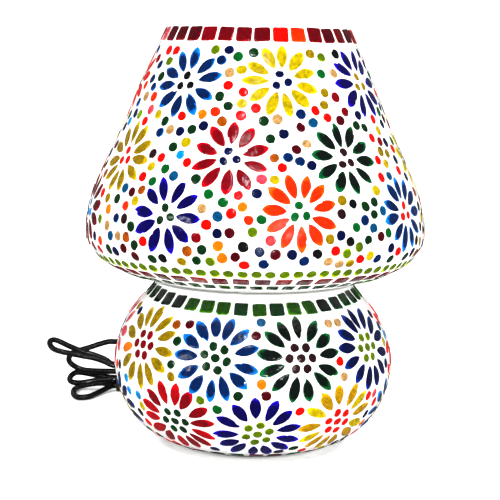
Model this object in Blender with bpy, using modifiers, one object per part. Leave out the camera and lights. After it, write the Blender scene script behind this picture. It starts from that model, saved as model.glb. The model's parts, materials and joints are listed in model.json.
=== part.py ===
"""Mosaic glass table lamp: a lift-off mosaic shade on a pot-shaped mosaic base.

Metres, +Z up.  The origin is the centre of the foot on the table top.
The front of the lamp faces -Y; the flex leaves the back of the base.
"""
import math

import bmesh
import bpy
from mathutils import Matrix, Vector

MM = 0.001

# ---------------------------------------------------------------- driving dimensions (mm)
GAP = 0.3                 # clearance between neighbouring pieces
SKIN_T = 1.8              # tiles and grout
GLASS_T = 2.8             # blown glass wall
SHELL_STEPS = 32          # facets round the big shells
RIM_Z = 254.0             # top of the shade
RIM_R = 54.9              # outer radius of the top opening
SHADE_R = 102.8           # widest radius of the shade
BASE_R = 84.9             # widest radius of the base
WAIST_R = 60.4            # radius at the notch between shade and base
WAIST_Z = 99.4            # top of the base rim
FOOT_R = 45.6             # outer radius of the mosaic at the foot
PAD_T = 1.8               # foot pad
PUNT_Z = 11.0             # underside of the pushed-up floor
TUBE_R, TUBE_BORE = 5.0, 3.6
TUBE_Z0, TUBE_Z1 = 3.6, 57.0
CAP_Z0 = 50.0             # bottom of the lamp holder
BULB_Z0 = 78.0            # contact point of the bulb
BULB_R = 27.5
CORD_R = 2.0
OUT_DEG = 120.0           # bearing of the flex hole, from +X
OUT_TILT = 28.0           # the flex hole points this far below level
OUT_Z = 30.0
SWITCH_X, SWITCH_Y, SWITCH_Z = 18.0, 124.0, 9.6
SWITCH_L, SWITCH_W, SWITCH_H = 60.0, 22.0, 18.2
TIE_X, TIE_Y = -93.0, 134.0
ROW_H, ROW_0 = 4.9, 4.1
PLUG_X, PLUG_Y, PLUG_Z = 18.0, 178.0, 7.6

# outer faces of the mosaic, (radius, height), top to bottom
SHADE_PROFILE = [
    (RIM_R, RIM_Z), (59.0, 245.4), (64.3, 233.3), (70.9, 219.3), (79.6, 197.6), (89.5, 176.0),
    (98.6, 155.2), (101.3, 145.0), (SHADE_R, 133.4), (102.1, 126.2), (98.9, 120.9), (94.4, 115.4),
    (85.7, 110.2), (77.1, 106.3), (WAIST_R + 0.4, 101.8),
]
BASE_PROFILE = [
    (WAIST_R, WAIST_Z), (64.3, 94.5), (70.2, 88.3), (76.8, 78.7), (81.9, 67.0), (BASE_R, 52.0),
    (83.3, 39.0), (79.1, 27.8), (72.4, 17.4), (61.2, 8.0), (FOOT_R, 1.0),
]

# ---------------------------------------------------------------- scene set-up
for old in list(bpy.data.objects):
    bpy.data.objects.remove(old, do_unlink=True)
PARTS = bpy.data.collections.new("mosaic_glass_table_lamp")
CUTTERS = bpy.data.collections.new("cutters")
bpy.context.scene.collection.children.link(PARTS)
bpy.context.scene.collection.children.link(CUTTERS)

FINISHES = {
    "mosaic": ((0.62, 0.55, 0.50), 0.12, 0.0),
    "clear_glass": ((0.86, 0.93, 0.91), 0.06, 0.0),
    "opal_glass": ((0.95, 0.94, 0.90), 0.25, 0.0),
    "black_rubber": ((0.025, 0.025, 0.027), 0.75, 0.0),
    "felt": ((0.03, 0.035, 0.03), 0.95, 0.0),
    "black_pvc": ((0.015, 0.015, 0.017), 0.28, 0.0),
    "black_plastic": ((0.02, 0.02, 0.022), 0.38, 0.0),
    "clear_rubber": ((0.80, 0.80, 0.76), 0.45, 0.0),
    "zinc_steel": ((0.62, 0.63, 0.65), 0.38, 1.0),
    "brass": ((0.78, 0.60, 0.27), 0.32, 1.0),
    "nickel": ((0.72, 0.70, 0.66), 0.28, 1.0),
    "porcelain": ((0.90, 0.89, 0.85), 0.30, 0.0),
    "tungsten": ((0.30, 0.29, 0.28), 0.45, 1.0),
}


def paint(obj, finish):
    """Give the object its own Principled material."""
    colour, rough, metal = FINISHES[finish]
    mat = bpy.data.materials.new(obj.name + "_mat")
    mat.use_nodes = True
    bsdf = mat.node_tree.nodes["Principled BSDF"]
    bsdf.inputs["Base Color"].default_value = (*colour, 1.0)
    bsdf.inputs["Roughness"].default_value = rough
    bsdf.inputs["Metallic"].default_value = metal
    obj.data.materials.append(mat)


def add(name, data, finish, loc=(0, 0, 0), rot=None):
    obj = bpy.data.objects.new(name, data)
    PARTS.objects.link(obj)
    obj.location = Vector(loc) * MM
    if rot is not None:
        obj.rotation_euler = rot.to_euler() if hasattr(rot, "to_euler") else rot
    paint(obj, finish)
    return obj


def smooth(obj, degrees=40.0):
    obj.data.shade_smooth()
    obj.data.set_sharp_from_angle(angle=math.radians(degrees))


def profile_mesh(name, pts, closed):
    mesh = bpy.data.meshes.new(name)
    n = len(pts)
    edges = [(i, i + 1) for i in range(n - 1)] + ([(n - 1, 0)] if closed else [])
    mesh.from_pydata([(r * MM, 0.0, z * MM) for r, z in pts], edges, [])
    return mesh


def screw(obj, steps):
    mod = obj.modifiers.new("turn", "SCREW")
    mod.axis = "Z"
    mod.angle = math.tau
    mod.steps = steps
    mod.render_steps = steps
    mod.use_merge_vertices = True
    mod.merge_threshold = 0.00001
    mod.use_smooth_shade = True
    return mod


def turned(name, pts, finish, steps=24, loc=(0, 0, 0), rot=None):
    """A turned solid.  A profile that starts and ends on the axis is left open, any other is closed."""
    closed = not (abs(pts[0][0]) < 1e-6 and abs(pts[-1][0]) < 1e-6)
    obj = add(name, profile_mesh(name, pts, closed), finish, loc, rot)
    screw(obj, steps)
    return obj


def offset_profile(pts, d):
    """Move a profile that runs down its outer side inwards by d, square to itself."""
    out = []
    for i, (r, z) in enumerate(pts):
        a = pts[max(i - 1, 0)]
        b = pts[min(i + 1, len(pts) - 1)]
        if 0 < i < len(pts) - 1:
            n1 = Vector((pts[i - 1][1] - z, r - pts[i - 1][0])).normalized()
            n2 = Vector((z - b[1], b[0] - r)).normalized()
            n = (n1 + n2).normalized()
            k = d / max(n.dot(n1), 0.5)
        else:
            n = Vector((a[1] - b[1], b[0] - a[0])).normalized()
            k = d
        out.append((r - n.x * k, z - n.y * k))
    return out


def wire(name, pts, radius, finish, cyclic=False, sides=2):
    """A round wire through the points."""
    cu = bpy.data.curves.new(name, "CURVE")
    cu.dimensions = "3D"
    cu.bevel_depth = radius * MM
    cu.bevel_resolution = sides
    cu.use_fill_caps = not cyclic
    cu.resolution_u = 1
    cu.render_resolution_u = 1
    sp = cu.splines.new("POLY")
    sp.points.add(len(pts) - 1)
    for p, co in zip(sp.points, pts):
        p.co = (co[0] * MM, co[1] * MM, co[2] * MM, 1.0)
    sp.use_cyclic_u = cyclic
    return add(name, cu, finish)


def plate(name, outlines, thick, finish, loc=(0, 0, 0), rot=None, chamfer=0.0):
    """A flat plate: closed outlines (first the outside, then holes) pulled up to a thickness."""
    cu = bpy.data.curves.new(name, "CURVE")
    cu.dimensions = "2D"
    cu.fill_mode = "BOTH"
    cu.extrude = (thick / 2 - chamfer) * MM
    cu.bevel_depth = chamfer * MM
    cu.bevel_resolution = 0
    cu.offset = -chamfer * MM
    cu.resolution_u = 1
    cu.render_resolution_u = 1
    for line in outlines:
        sp = cu.splines.new("POLY")
        sp.points.add(len(line) - 1)
        for p, co in zip(sp.points, line):
            p.co = (co[0] * MM, co[1] * MM, 0.0, 1.0)
        sp.use_cyclic_u = True
    return add(name, cu, finish, loc, rot)


def ring(radius, count, phase=0.0):
    return [(radius * math.cos(phase + math.tau * i / count), radius * math.sin(phase + math.tau * i / count))
            for i in range(count)]


def rounded_rect(w, h, r, seg=3):
    pts = []
    for cx, cy, a0 in ((w / 2 - r, h / 2 - r, 0), (-w / 2 + r, h / 2 - r, 90),
                       (-w / 2 + r, -h / 2 + r, 180), (w / 2 - r, -h / 2 + r, 270)):
        for k in range(seg + 1):
            a = math.radians(a0 + 90 * k / seg)
            pts.append((cx + r * math.cos(a), cy + r * math.sin(a)))
    return pts


def cutter(kind, name, size, loc, rot=None, steps=24):
    """A hidden cutting solid: a box (full sizes) or a round bar (radius, length)."""
    mesh = bpy.data.meshes.new(name)
    bm = bmesh.new()
    if kind == "box":
        bmesh.ops.create_cube(bm, size=1.0)
        bmesh.ops.scale(bm, vec=Vector(size) * MM, verts=bm.verts)
    else:
        bmesh.ops.create_cone(bm, cap_ends=True, segments=steps, radius1=size[0] * MM, radius2=size[0] * MM,
                              depth=size[1] * MM)
    bm.to_mesh(mesh)
    bm.free()
    obj = bpy.data.objects.new(name, mesh)
    CUTTERS.objects.link(obj)
    obj.location = Vector(loc) * MM
    if rot is not None:
        obj.rotation_euler = rot.to_euler() if hasattr(rot, "to_euler") else rot
    obj.hide_render = True
    obj.display_type = "WIRE"
    return obj


def cut(obj, tool, op="DIFFERENCE"):
    mod = obj.modifiers.new("cut", "BOOLEAN")
    mod.operation = op
    mod.solver = "EXACT"
    mod.object = tool


def box(name, size, finish, loc, bevel=0.0, seg=2, parent=None):
    """A block with rounded edges."""
    mesh = bpy.data.meshes.new(name)
    bm = bmesh.new()
    bmesh.ops.create_cube(bm, size=1.0)
    bmesh.ops.scale(bm, vec=Vector(size) * MM, verts=bm.verts)
    bm.to_mesh(mesh)
    bm.free()
    obj = add(name, mesh, finish, loc)
    if bevel:
        mod = obj.modifiers.new("round", "BEVEL")
        mod.width = bevel * MM
        mod.segments = seg
        mod.limit_method = "ANGLE"
    return obj


def spline(points, step):
    """A smooth line through the points, one vertex about every step."""
    P = [Vector(p) for p in points]
    P = [P[0] * 2 - P[1]] + P + [P[-1] * 2 - P[-2]]
    out = []
    for i in range(1, len(P) - 2):
        p0, p1, p2, p3 = P[i - 1:i + 3]
        d1 = max((p1 - p0).length, 1e-6) ** 0.5
        d2 = max((p2 - p1).length, 1e-6) ** 0.5
        d3 = max((p3 - p2).length, 1e-6) ** 0.5
        n = max(1, round((p2 - p1).length / step))
        for k in range(n):
            t = d1 + d2 * k / n
            a1 = p0 * ((d1 - t) / d1) + p1 * (t / d1)
            a2 = p1 * ((d1 + d2 - t) / d2) + p2 * ((t - d1) / d2)
            a3 = p2 * ((d1 + d2 + d3 - t) / d3) + p3 * ((t - d1 - d2) / d3)
            b1 = a1 * ((d1 + d2 - t) / (d1 + d2)) + a2 * (t / (d1 + d2))
            b2 = a2 * ((d1 + d2 + d3 - t) / (d2 + d3)) + a3 * ((t - d1) / (d2 + d3))
            out.append(b1 * ((d1 + d2 - t) / d2) + b2 * ((t - d1) / d2))
    out.append(P[-2].copy())
    return out


# ---------------------------------------------------------------- shade
shade_in = offset_profile(SHADE_PROFILE, SKIN_T)
shade_glass_out = offset_profile(SHADE_PROFILE, SKIN_T + GAP)
shade_glass_in = offset_profile(SHADE_PROFILE, SKIN_T + GAP + GLASS_T)
# the tiles and grout turn in over the rim of the glass
skin = SHADE_PROFILE + list(reversed(shade_in[1:]))
skin += [(shade_in[0][0] + 0.9, RIM_Z - 2.0), (shade_in[0][0] - 2.6, RIM_Z - 2.0), (shade_in[0][0] - 2.6, RIM_Z - 0.4)]
turned("shade_mosaic_skin", skin, "mosaic", SHELL_STEPS)
# the blown glass carries on below the notch as a short neck that drops into the base
NECK_R = 52.6
outer = [(shade_glass_out[0][0] + 0.6, RIM_Z - 2.4)] + shade_glass_out[1:] + [
    (NECK_R + 4.4, 102.5), (NECK_R + 1.4, 101.7), (NECK_R, 100.3), (NECK_R - 0.2, 90.5)]
inner = [(NECK_R - 2.4, 90.5), (NECK_R - 2.3, 102.0), (NECK_R + 1.2, 105.0)] + list(reversed(shade_glass_in[1:-1])) + [
    (shade_glass_in[0][0] + 0.6, RIM_Z - 2.4)]
turned("shade_glass", outer + inner, "clear_glass", SHELL_STEPS)

# ---------------------------------------------------------------- base
base_in = offset_profile(BASE_PROFILE, SKIN_T)
base_glass_out = offset_profile(BASE_PROFILE, SKIN_T + GAP)
base_glass_in = offset_profile(BASE_PROFILE, SKIN_T + GAP + GLASS_T)
u = Vector((math.cos(math.radians(OUT_DEG)), math.sin(math.radians(OUT_DEG)), 0.0))
ct, st = math.cos(math.radians(OUT_TILT)), math.sin(math.radians(OUT_TILT))
hole_axis = Vector((u.x * ct, u.y * ct, -st))
hole_mid = u * (80.0 - 2.45 * ct) + Vector((0, 0, OUT_Z + 2.45 * st))
hole_rot = hole_axis.to_track_quat("Z", "Y")

bskin = [(WAIST_R - 3.0, WAIST_Z)] + BASE_PROFILE + list(reversed(base_in[1:])) + [
    (WAIST_R - 2.2, WAIST_Z - 1.8), (WAIST_R - 3.0, WAIST_Z - 1.8)]
# keep the foot end of the mosaic level with the glass
base_skin = turned("base_mosaic_skin", bskin, "mosaic", SHELL_STEPS)
flex_hole = cutter("bar", "flex_hole", (4.9, 30.0), hole_mid, hole_rot, 20)
cut(base_skin, flex_hole)

FLOOR_Z = PAD_T + GAP
b_out = [(WAIST_R - 2.9, WAIST_Z - 2.1)] + base_glass_out[1:-1] + [
    (FOOT_R - 3.4, FLOOR_Z), (31.5, FLOOR_Z), (27.0, PUNT_Z - 2.2), (23.0, PUNT_Z), (TUBE_R + 0.5, PUNT_Z)]
b_in = [(TUBE_R + 0.5, PUNT_Z + GLASS_T), (24.5, PUNT_Z + GLASS_T), (29.4, PUNT_Z), (33.4, FLOOR_Z + GLASS_T),
        (FOOT_R - 5.4, FLOOR_Z + GLASS_T)] + list(reversed(base_glass_in[1:-1])) + [(WAIST_R - 5.4, WAIST_Z - 2.1)]
base_glass = turned("base_glass", b_out + b_in, "clear_glass", SHELL_STEPS)
cut(base_glass, flex_hole)

turned("foot_pad", [(0.0, PAD_T), (42.0, PAD_T), (42.0, 0.0), (0.0, 0.0)], "felt", 32)

# soft ring between shade and base: an L section on the base rim
turned("shade_seat_gasket", [
    (58.6, 99.7), (58.6, 101.1), (54.6, 101.0), (54.0, 99.9), (53.4, 99.0), (53.4, 94.0), (54.6, 94.0), (54.6, 99.7),
][::-1], "clear_rubber", SHELL_STEPS)

# rubber bush in the flex hole, its flanges either side of the wall
turned("flex_bush", [
    (CORD_R + 0.45, 5.2), (5.6, 5.2), (6.4, 4.4), (6.4, 3.5), (4.45, 3.1), (4.45, -4.0), (6.2, -4.6), (6.2, -5.8),
    (CORD_R + 0.45, -5.8)], "black_rubber", 16, hole_mid, hole_rot)

# ---------------------------------------------------------------- stem through the floor
turned("threaded_tube", [
    (TUBE_BORE, TUBE_Z1), (TUBE_R - 0.5, TUBE_Z1), (TUBE_R, TUBE_Z1 - 0.6), (TUBE_R, TUBE_Z0 + 0.6),
    (TUBE_R - 0.5, TUBE_Z0), (TUBE_BORE, TUBE_Z0)], "zinc_steel", 16)


def washer(name, z0, z1, r, finish):
    plate(name, [ring(r, 20), ring(TUBE_R + 0.35, 14)], z1 - z0, finish, (0, 0, (z0 + z1) / 2))


def nut(name, z0, z1, across, finish, bore=TUBE_R + 0.3):
    plate(name, [ring(across / 2 / math.cos(math.pi / 6), 6), ring(bore, 14)], z1 - z0, finish,
          (0, 0, (z0 + z1) / 2), None, 0.25)


f1 = PUNT_Z + GLASS_T
washer("washer_rubber_lower", PUNT_Z - 1.8, PUNT_Z - 0.3, 13.0, "black_rubber")
washer("washer_steel_lower", PUNT_Z - 3.2, PUNT_Z - 2.1, 12.0, "zinc_steel")
nut("nut_lower", PUNT_Z - 6.6, PUNT_Z - 3.5, 14.0, "zinc_steel")
washer("washer_rubber_upper", f1 + 0.3, f1 + 1.8, 13.0, "black_rubber")
washer("washer_steel_upper", f1 + 2.1, f1 + 3.2, 12.0, "zinc_steel")
nut("nut_upper", f1 + 3.5, f1 + 6.9, 14.0, "zinc_steel")

# ---------------------------------------------------------------- lamp holder
holder_cap = turned("holder_cap", [
    (TUBE_R + 0.35, CAP_Z0), (9.0, CAP_Z0), (9.0, 51.2), (15.0, 53.0), (18.2, 56.5), (19.3, 61.0), (19.3, 71.5),
    (17.3, 71.5), (17.3, 61.2), (16.0, 57.6), (13.6, 55.2), (8.0, 53.4), (TUBE_R + 0.35, 53.4)][::-1],
    "black_plastic", 24)
cut(holder_cap, cutter("bar", "side_entry", (CORD_R + 0.4, 12.0), u * 18.0 + Vector((0, 0, 63.0)),
                       u.to_track_quat("Z", "Y"), 20))
nut("holder_lock_nut", 53.9, 56.4, 13.0, "brass")
core = turned("holder_ceramic_core", [
    (0.0, 75.2), (12.6, 75.2), (16.4, 75.2), (16.4, 67.2), (11.0, 67.2), (0.0, 67.2)], "porcelain", 24)
for sx, label in ((-1, "live"), (1, "neutral")):
    cut(core, cutter("bar", "well_" + label, (2.5, 6.0), (sx * 8.6, -4.0, 67.2), None, 16))
    screw_obj = turned("holder_terminal_screw_" + label, [
        (0.0, 69.6), (1.1, 69.6), (1.1, 67.2), (2.0, 66.9), (2.0, 65.5), (1.7, 65.2), (0.0, 65.2)],
        "brass", 16, (sx * 8.6, -4.0, 0))
    cut(screw_obj, cutter("box", "slot_" + label, (5.0, 0.6, 1.2), (sx * 8.6, -4.0, 65.2)))
cut(core, cutter("box", "contact_pocket", (9.0, 7.0, 4.0), (0, 0, 75.2)))
turned("holder_screw_shell", [
    (14.5, 98.6), (13.9, 98.6), (13.9, 75.6), (11.6, 75.6), (11.6, 76.2), (13.35, 76.2), (13.35, 99.2), (14.5, 99.2),
], "brass", 24)
turned("holder_sleeve", [
    (15.2, 103.0), (17.6, 103.0), (18.6, 102.2), (19.6, 86.0), (19.6, 71.9), (17.2, 71.9), (17.2, 76.0), (16.9, 76.0),
    (16.9, 84.0), (15.2, 88.0)], "black_plastic", 24)
# springy centre contact: a strip bent up in the middle; the origin is at its tip
contact = plate("holder_centre_contact", [[
    (-3.2, -3.4), (3.2, -3.4), (3.2, -2.2), (2.2, -2.2), (1.2, -0.5), (-1.2, -0.5), (-2.2, -2.2), (-3.2, -2.2)][::-1]],
    4.0, "brass", (0, 0, BULB_Z0 - 0.3 + 0.5), (math.pi / 2, 0, 0))

# ---------------------------------------------------------------- bulb
turned("bulb_tip_contact", [
    (0.0, BULB_Z0 + 2.6), (2.6, BULB_Z0 + 2.6), (4.4, BULB_Z0 + 1.5), (3.6, BULB_Z0 + 0.6), (0.0, BULB_Z0)],
    "nickel", 20)
turned("bulb_cap_insulator", [
    (5.0, BULB_Z0 + 4.4), (11.0, BULB_Z0 + 4.4), (10.4, BULB_Z0 + 3.4), (5.4, BULB_Z0 + 1.6), (5.0, BULB_Z0 + 2.0)],
    "black_plastic", 24)
turned("bulb_cap_shell", [
    (13.0, BULB_Z0 + 23.4), (13.0, BULB_Z0 + 7.2), (11.4, BULB_Z0 + 4.8), (7.0, BULB_Z0 + 4.8), (7.0, BULB_Z0 + 5.4),
    (11.0, BULB_Z0 + 5.5), (12.4, BULB_Z0 + 7.4), (12.4, BULB_Z0 + 23.4)], "nickel", 24)
globe_z = BULB_Z0 + 70.0
globe = [(BULB_R * math.sin(math.radians(a)), globe_z + BULB_R * math.cos(math.radians(a)))
         for a in (0, 22, 45, 68, 90, 108)]
globe += [(22.6, globe_z - 16.8), (17.8, globe_z - 27.0), (14.6, globe_z - 36.0), (13.4, globe_z - 42.0),
          (12.0, globe_z - 43.6), (12.0, globe_z - 52.0)]
inner = [(max(r - 0.9, 0.0), z - (0.9 if i < 3 else 0.0)) for i, (r, z) in enumerate(globe)]
turned("bulb_globe", globe + list(reversed(inner)), "opal_glass", 24)
turned("bulb_glass_stem", [
    (0.0, globe_z - 12.0), (2.0, globe_z - 13.0), (2.4, globe_z - 15.0), (2.2, globe_z - 26.0), (4.6, globe_z - 38.0),
    (8.8, globe_z - 44.0), (8.8, globe_z - 46.0), (0.0, globe_z - 46.0)], "clear_glass", 20)
fil = [(-5.0, -2.2, globe_z - 37.0), (-6.0, -3.4, globe_z - 24.0), (-9.4, -1.7, globe_z - 2.0)]
fil += [(-9.4 + 18.8 * k / 12, 0.0, globe_z + 0.6 + 2.4 * math.sin(math.pi * k / 12)) for k in range(1, 12)]
fil += [(9.4, -1.7, globe_z - 2.0), (6.0, -3.4, globe_z - 24.0), (5.0, -2.2, globe_z - 37.0)]
wire("bulb_filament", fil, 0.28, "tungsten", sides=1)

# ---------------------------------------------------------------- flex
cy, cz = u, Vector((0, 0, 1))
entry = u * 12.5 + Vector((0, 0, 63.0))
inside = [entry, u * 18.0 + cz * 63.0, u * 27.0 + cz * 62.4, u * 39.0 + cz * 57.0, u * 51.0 + cz * 47.5,
          u * 62.0 + cz * 39.6]
through = [hole_mid - hole_axis * 9.0, hole_mid, hole_mid + hole_axis * 9.0]
LEFT_END = SWITCH_X - SWITCH_L / 2
outside = [hole_mid + hole_axis * 15.5 + Vector((1.0, 0.5, 0.2)), Vector((-47.6, 104.0, 14.0)),
           Vector((-42.0, 115.5, 10.6)), Vector((-30.0, 122.4, SWITCH_Z)),
           Vector((LEFT_END - 4.0, SWITCH_Y, SWITCH_Z)), Vector((LEFT_END + 7.0, SWITCH_Y, SWITCH_Z))]
wire("flex_lamp_side", spline(inside + through + outside, 5.0), CORD_R, "black_pvc")


def hank():
    """The spare flex, laid in bights through the tie: the open one on the floor, a narrow one over it, a long one that
    stands up on top, and the first turn, which comes in high from behind.  Positions are out to the left of the tie,
    back from it, and up."""
    low, mid, top, slot = ROW_0, ROW_0 + ROW_H, ROW_0 + 3 * ROW_H, 2.4
    turn = ROW_0 + 2 * ROW_H
    floor = CORD_R + 0.2

    def right_bight(r, q):
        """From the far side of row r round to the near side of a row at height q."""
        return [(-16.0, 5.0, r * 0.9 + q * 0.1 + 0.3), (-28.0, 8.6, r * 0.7 + q * 0.3), (-39.0, 7.2, r * 0.25 + q * 0.75),
                (-44.0, 0.0, q), (-39.0, -7.2, q), (-28.0, -8.6, q), (-16.0, -5.0, q)]

    def through(h, side, out):
        """Through the tie, towards the left when out is 1."""
        return [(-6.0 * out, slot * side, h), (0.0, slot * side, h), (5.0 * out, slot * side * 1.1, h)]
    path = [(4.2, 24.0, 30.7), (10.0, 23.0, 30.8), (17.0, 21.0, 29.2), (24.0, 19.0, 27.0), (31.0, 16.0, 25.3),
            (35.4, 13.0, 24.0), (37.2, 8.0, 21.0), (35.7, 4.0, 18.7), (31.8, 2.0, 16.4), (26.0, 1.0, 14.4)]
    path += [(6.0, 0.0, turn), (0.0, 0.0, turn), (-6.0, 0.0, turn), (-20.0, 0.5, turn), (-36.0, 0.5, turn),
             (-48.0, 0.0, turn), (-54.0, -5.0, 11.2), (-53.0, -11.5, 7.6), (-43.0, -14.5, 4.8), (-28.0, -12.6, low),
             (-16.0, -7.0, low)]
    path += through(low, -1, 1)
    path += [(11.5, -13.0, 2.7), (15.5, -22.0, floor), (19.5, -30.5, floor), (25.0, -33.0, floor), (29.0, -27.0, floor),
             (31.2, -14.0, floor), (30.6, -4.0, floor), (27.0, 3.5, floor + 0.2), (21.0, 7.0, 3.0), (13.5, 6.4, 3.9)]
    path += through(low, 1, -1)
    path += right_bight(low, mid)
    path += through(mid, -1, 1)
    path += [(17.0, -6.0, 8.3), (27.0, -7.0, 6.7), (33.0, -5.0, 6.7), (35.6, 0.0, 7.6), (35.0, 4.4, 9.4),
             (32.0, 6.8, 11.2), (28.0, 7.0, 11.2), (18.0, 6.0, 9.8)]
    path += through(mid, 1, -1)
    path += right_bight(mid, top)
    path += through(top, -1, 1)
    path += [(11.0, -3.5, 21.6), (18.0, -5.0, 24.2), (25.0, -6.0, 25.6), (34.0, -6.0, 27.3), (41.0, -6.0, 28.6),
             (46.6, -5.0, 30.4), (49.2, -2.6, 32.8), (49.6, 0.4, 34.6), (47.6, 3.2, 35.2), (43.5, 4.6, 33.8),
             (38.0, 4.6, 31.2), (32.4, 4.4, 28.9), (26.6, 4.0, 26.8), (18.9, 3.4, 24.8), (11.0, 2.9, 21.9)]
    path += through(top, 1, -1)
    return [Vector((TIE_X - e, TIE_Y + w, h)) for e, w, h in path]


RIGHT_END = SWITCH_X + SWITCH_L / 2
lead_in = [Vector((RIGHT_END - 7.0, SWITCH_Y, SWITCH_Z)), Vector((RIGHT_END + 4.0, SWITCH_Y, SWITCH_Z)),
           Vector((64.0, 126.6, 8.0)), Vector((73.0, 133.0, 5.6)), Vector((75.0, 142.0, 3.6)),
           Vector((68.0, 149.6, 2.8)), Vector((52.0, 152.6, 2.8)), Vector((22.0, 153.4, 3.2)),
           Vector((4.0, 153.6, 6.5)), Vector((-14.0, 154.0, 14.5)), Vector((-32.0, 154.6, 24.5)),
           Vector((-52.0, 155.4, 31.0)), Vector((-72.0, 156.6, 33.0)), Vector((-85.0, 157.4, 32.2))]
lead_out = [Vector((-75.0, 139.0, 19.8)), Vector((-63.0, 146.0, 20.4)), Vector((-48.0, 157.0, 18.0)),
            Vector((-32.0, 168.0, 13.4)), Vector((-16.0, 175.0, 9.2)), Vector((0.0, PLUG_Y, PLUG_Z)),
            Vector((PLUG_X + 4.0, PLUG_Y, PLUG_Z))]
wire("flex_plug_side", spline(lead_in + hank() + lead_out, 8.0), CORD_R, "black_pvc")

tie_w, tie_h = 2.4 * 2 + 2 * CORD_R + 1.2, 3 * ROW_H + 2 * CORD_R + 1.2
plate("flex_tie", [rounded_rect(tie_h + 2.0, tie_w + 2.0, 2.6), rounded_rect(tie_h, tie_w, 1.8)], 4.6,
      "black_plastic", (TIE_X, TIE_Y, ROW_0 + 1.5 * ROW_H), (0, math.pi / 2, 0))

# ---------------------------------------------------------------- in-line switch
sw = Vector((SWITCH_X, SWITCH_Y, 0.0))
SPLIT = SWITCH_Z
lower = box("switch_case_lower", (SWITCH_L, SWITCH_W, SPLIT - 0.5 - 0.2), "black_plastic",
            (SWITCH_X, SWITCH_Y, (SPLIT + 0.5 - 0.2) / 2), 0.8)
upper = box("switch_case_upper", (SWITCH_L, SWITCH_W, 0.5 + SWITCH_H - SPLIT - 0.2), "black_plastic",
            (SWITCH_X, SWITCH_Y, (SPLIT + 0.2 + 0.5 + SWITCH_H) / 2), 0.8)
for part_obj, label, z, h in ((lower, "lower", SPLIT, 14.4), (upper, "upper", SPLIT, 13.2)):
    cut(part_obj, cutter("box", "cavity_" + label, (SWITCH_L - 12.0, SWITCH_W - 4.0, h),
                         (SWITCH_X, SWITCH_Y, z)))
    cut(part_obj, cutter("bar", "flex_way_" + label, (CORD_R + 0.4, SWITCH_L + 8.0), (SWITCH_X, SWITCH_Y, SPLIT),
                         (0, math.pi / 2, 0), 20))
    cut(part_obj, cutter("bar", "pivot_way_" + label, (1.15, SWITCH_W - 1.4), (SWITCH_X, SWITCH_Y, SPLIT),
                         (math.pi / 2, 0, 0), 12))
cut(upper, cutter("box", "rocker_window", (24.4, 11.0, 12.0), (SWITCH_X, SWITCH_Y, 0.5 + SWITCH_H)))
for label, sx in (("near", -1), ("far", 1)):
    px, py = SWITCH_X + sx * 27.0, SWITCH_Y + sx * 6.6
    cut(lower, cutter("bar", "screw_way_" + label, (1.6, 30.0), (px, py, SPLIT), None, 14))
    cut(lower, cutter("bar", "screw_head_way_" + label, (2.1, 4.6), (px, py, 0.4), None, 14))
    cut(upper, cutter("bar", "screw_blind_" + label, (1.6, 13.0), (px, py, SPLIT), None, 14))
    head = turned("switch_case_screw_" + label, [
        (0.0, 14.6), (1.2, 14.6), (1.2, 2.4), (1.8, 2.4), (1.8, 0.9), (0.0, 0.9)], "zinc_steel", 14, (px, py, 0))
    cut(head, cutter("box", "cross_" + label, (2.6, 0.5, 1.0), (px, py, 0.9)))
# rocker, tipped to its off position: its origin is on the pivot
ROCK_DEG = 10.0
PIVOT_Z = SPLIT
arc = [(-9.6, 7.0), (-9.8, 10.4), (-5.4, 9.4), (0.0, 9.0), (5.4, 9.4), (9.8, 10.4), (9.6, 7.0),
       (4.6, 5.6), (2.8, 2.6), (2.8, -2.6), (1.6, -3.8), (-1.6, -3.8), (-2.8, -2.6), (-2.8, 2.6), (-4.6, 5.6)]
rocker = plate("switch_rocker", [arc, ring(1.25, 14)], 9.6, "black_plastic",
               (SWITCH_X, SWITCH_Y, PIVOT_Z), (math.pi / 2, -math.radians(ROCK_DEG), 0))
turned("switch_pivot_pin", [(0.0, SWITCH_W / 2 - 1.2), (0.85, SWITCH_W / 2 - 1.2), (0.85, -SWITCH_W / 2 + 1.2),
                            (0.0, -SWITCH_W / 2 + 1.2)], "zinc_steel", 12, (SWITCH_X, SWITCH_Y, PIVOT_Z),
       (math.pi / 2, 0, 0))
for label, sx in (("in", -1), ("out", 1)):
    block = box("switch_terminal_" + label, (6.0, 7.0, 5.0), "brass",
                (SWITCH_X + sx * 15.2, SWITCH_Y - 4.4, 6.2), 0.4, 1)
    cut(block, cutter("bar", "terminal_way_" + label, (1.3, 10.0), (SWITCH_X + sx * 15.2, SWITCH_Y - 4.4, 6.2),
                      (0, math.pi / 2, 0), 12))
plate("switch_contact_strip", [[(-9.0, -4.8), (-6.0, -4.8), (-3.0, -5.6), (3.0, -5.6), (6.0, -4.8), (9.0, -4.8),
                                (9.0, -5.3), (6.2, -5.3), (3.2, -6.1), (-3.2, -6.1), (-6.2, -5.3), (-9.0, -5.3)][::-1]],
      4.0, "brass", (SWITCH_X, SWITCH_Y, PIVOT_Z), (math.pi / 2, 0, 0))

# ---------------------------------------------------------------- plug
half = [(0.0, 4.2), (7.0, 4.6), (9.0, 6.6), (17.0, 12.6), (20.0, 13.4), (35.0, 13.4), (37.0, 12.2)]
plug = plate("plug_body", [[(x, -y) for x, y in half] + [(x, y) for x, y in reversed(half)]], 13.4,
             "black_plastic", (PLUG_X, PLUG_Y, PLUG_Z), None, 1.3)
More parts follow.
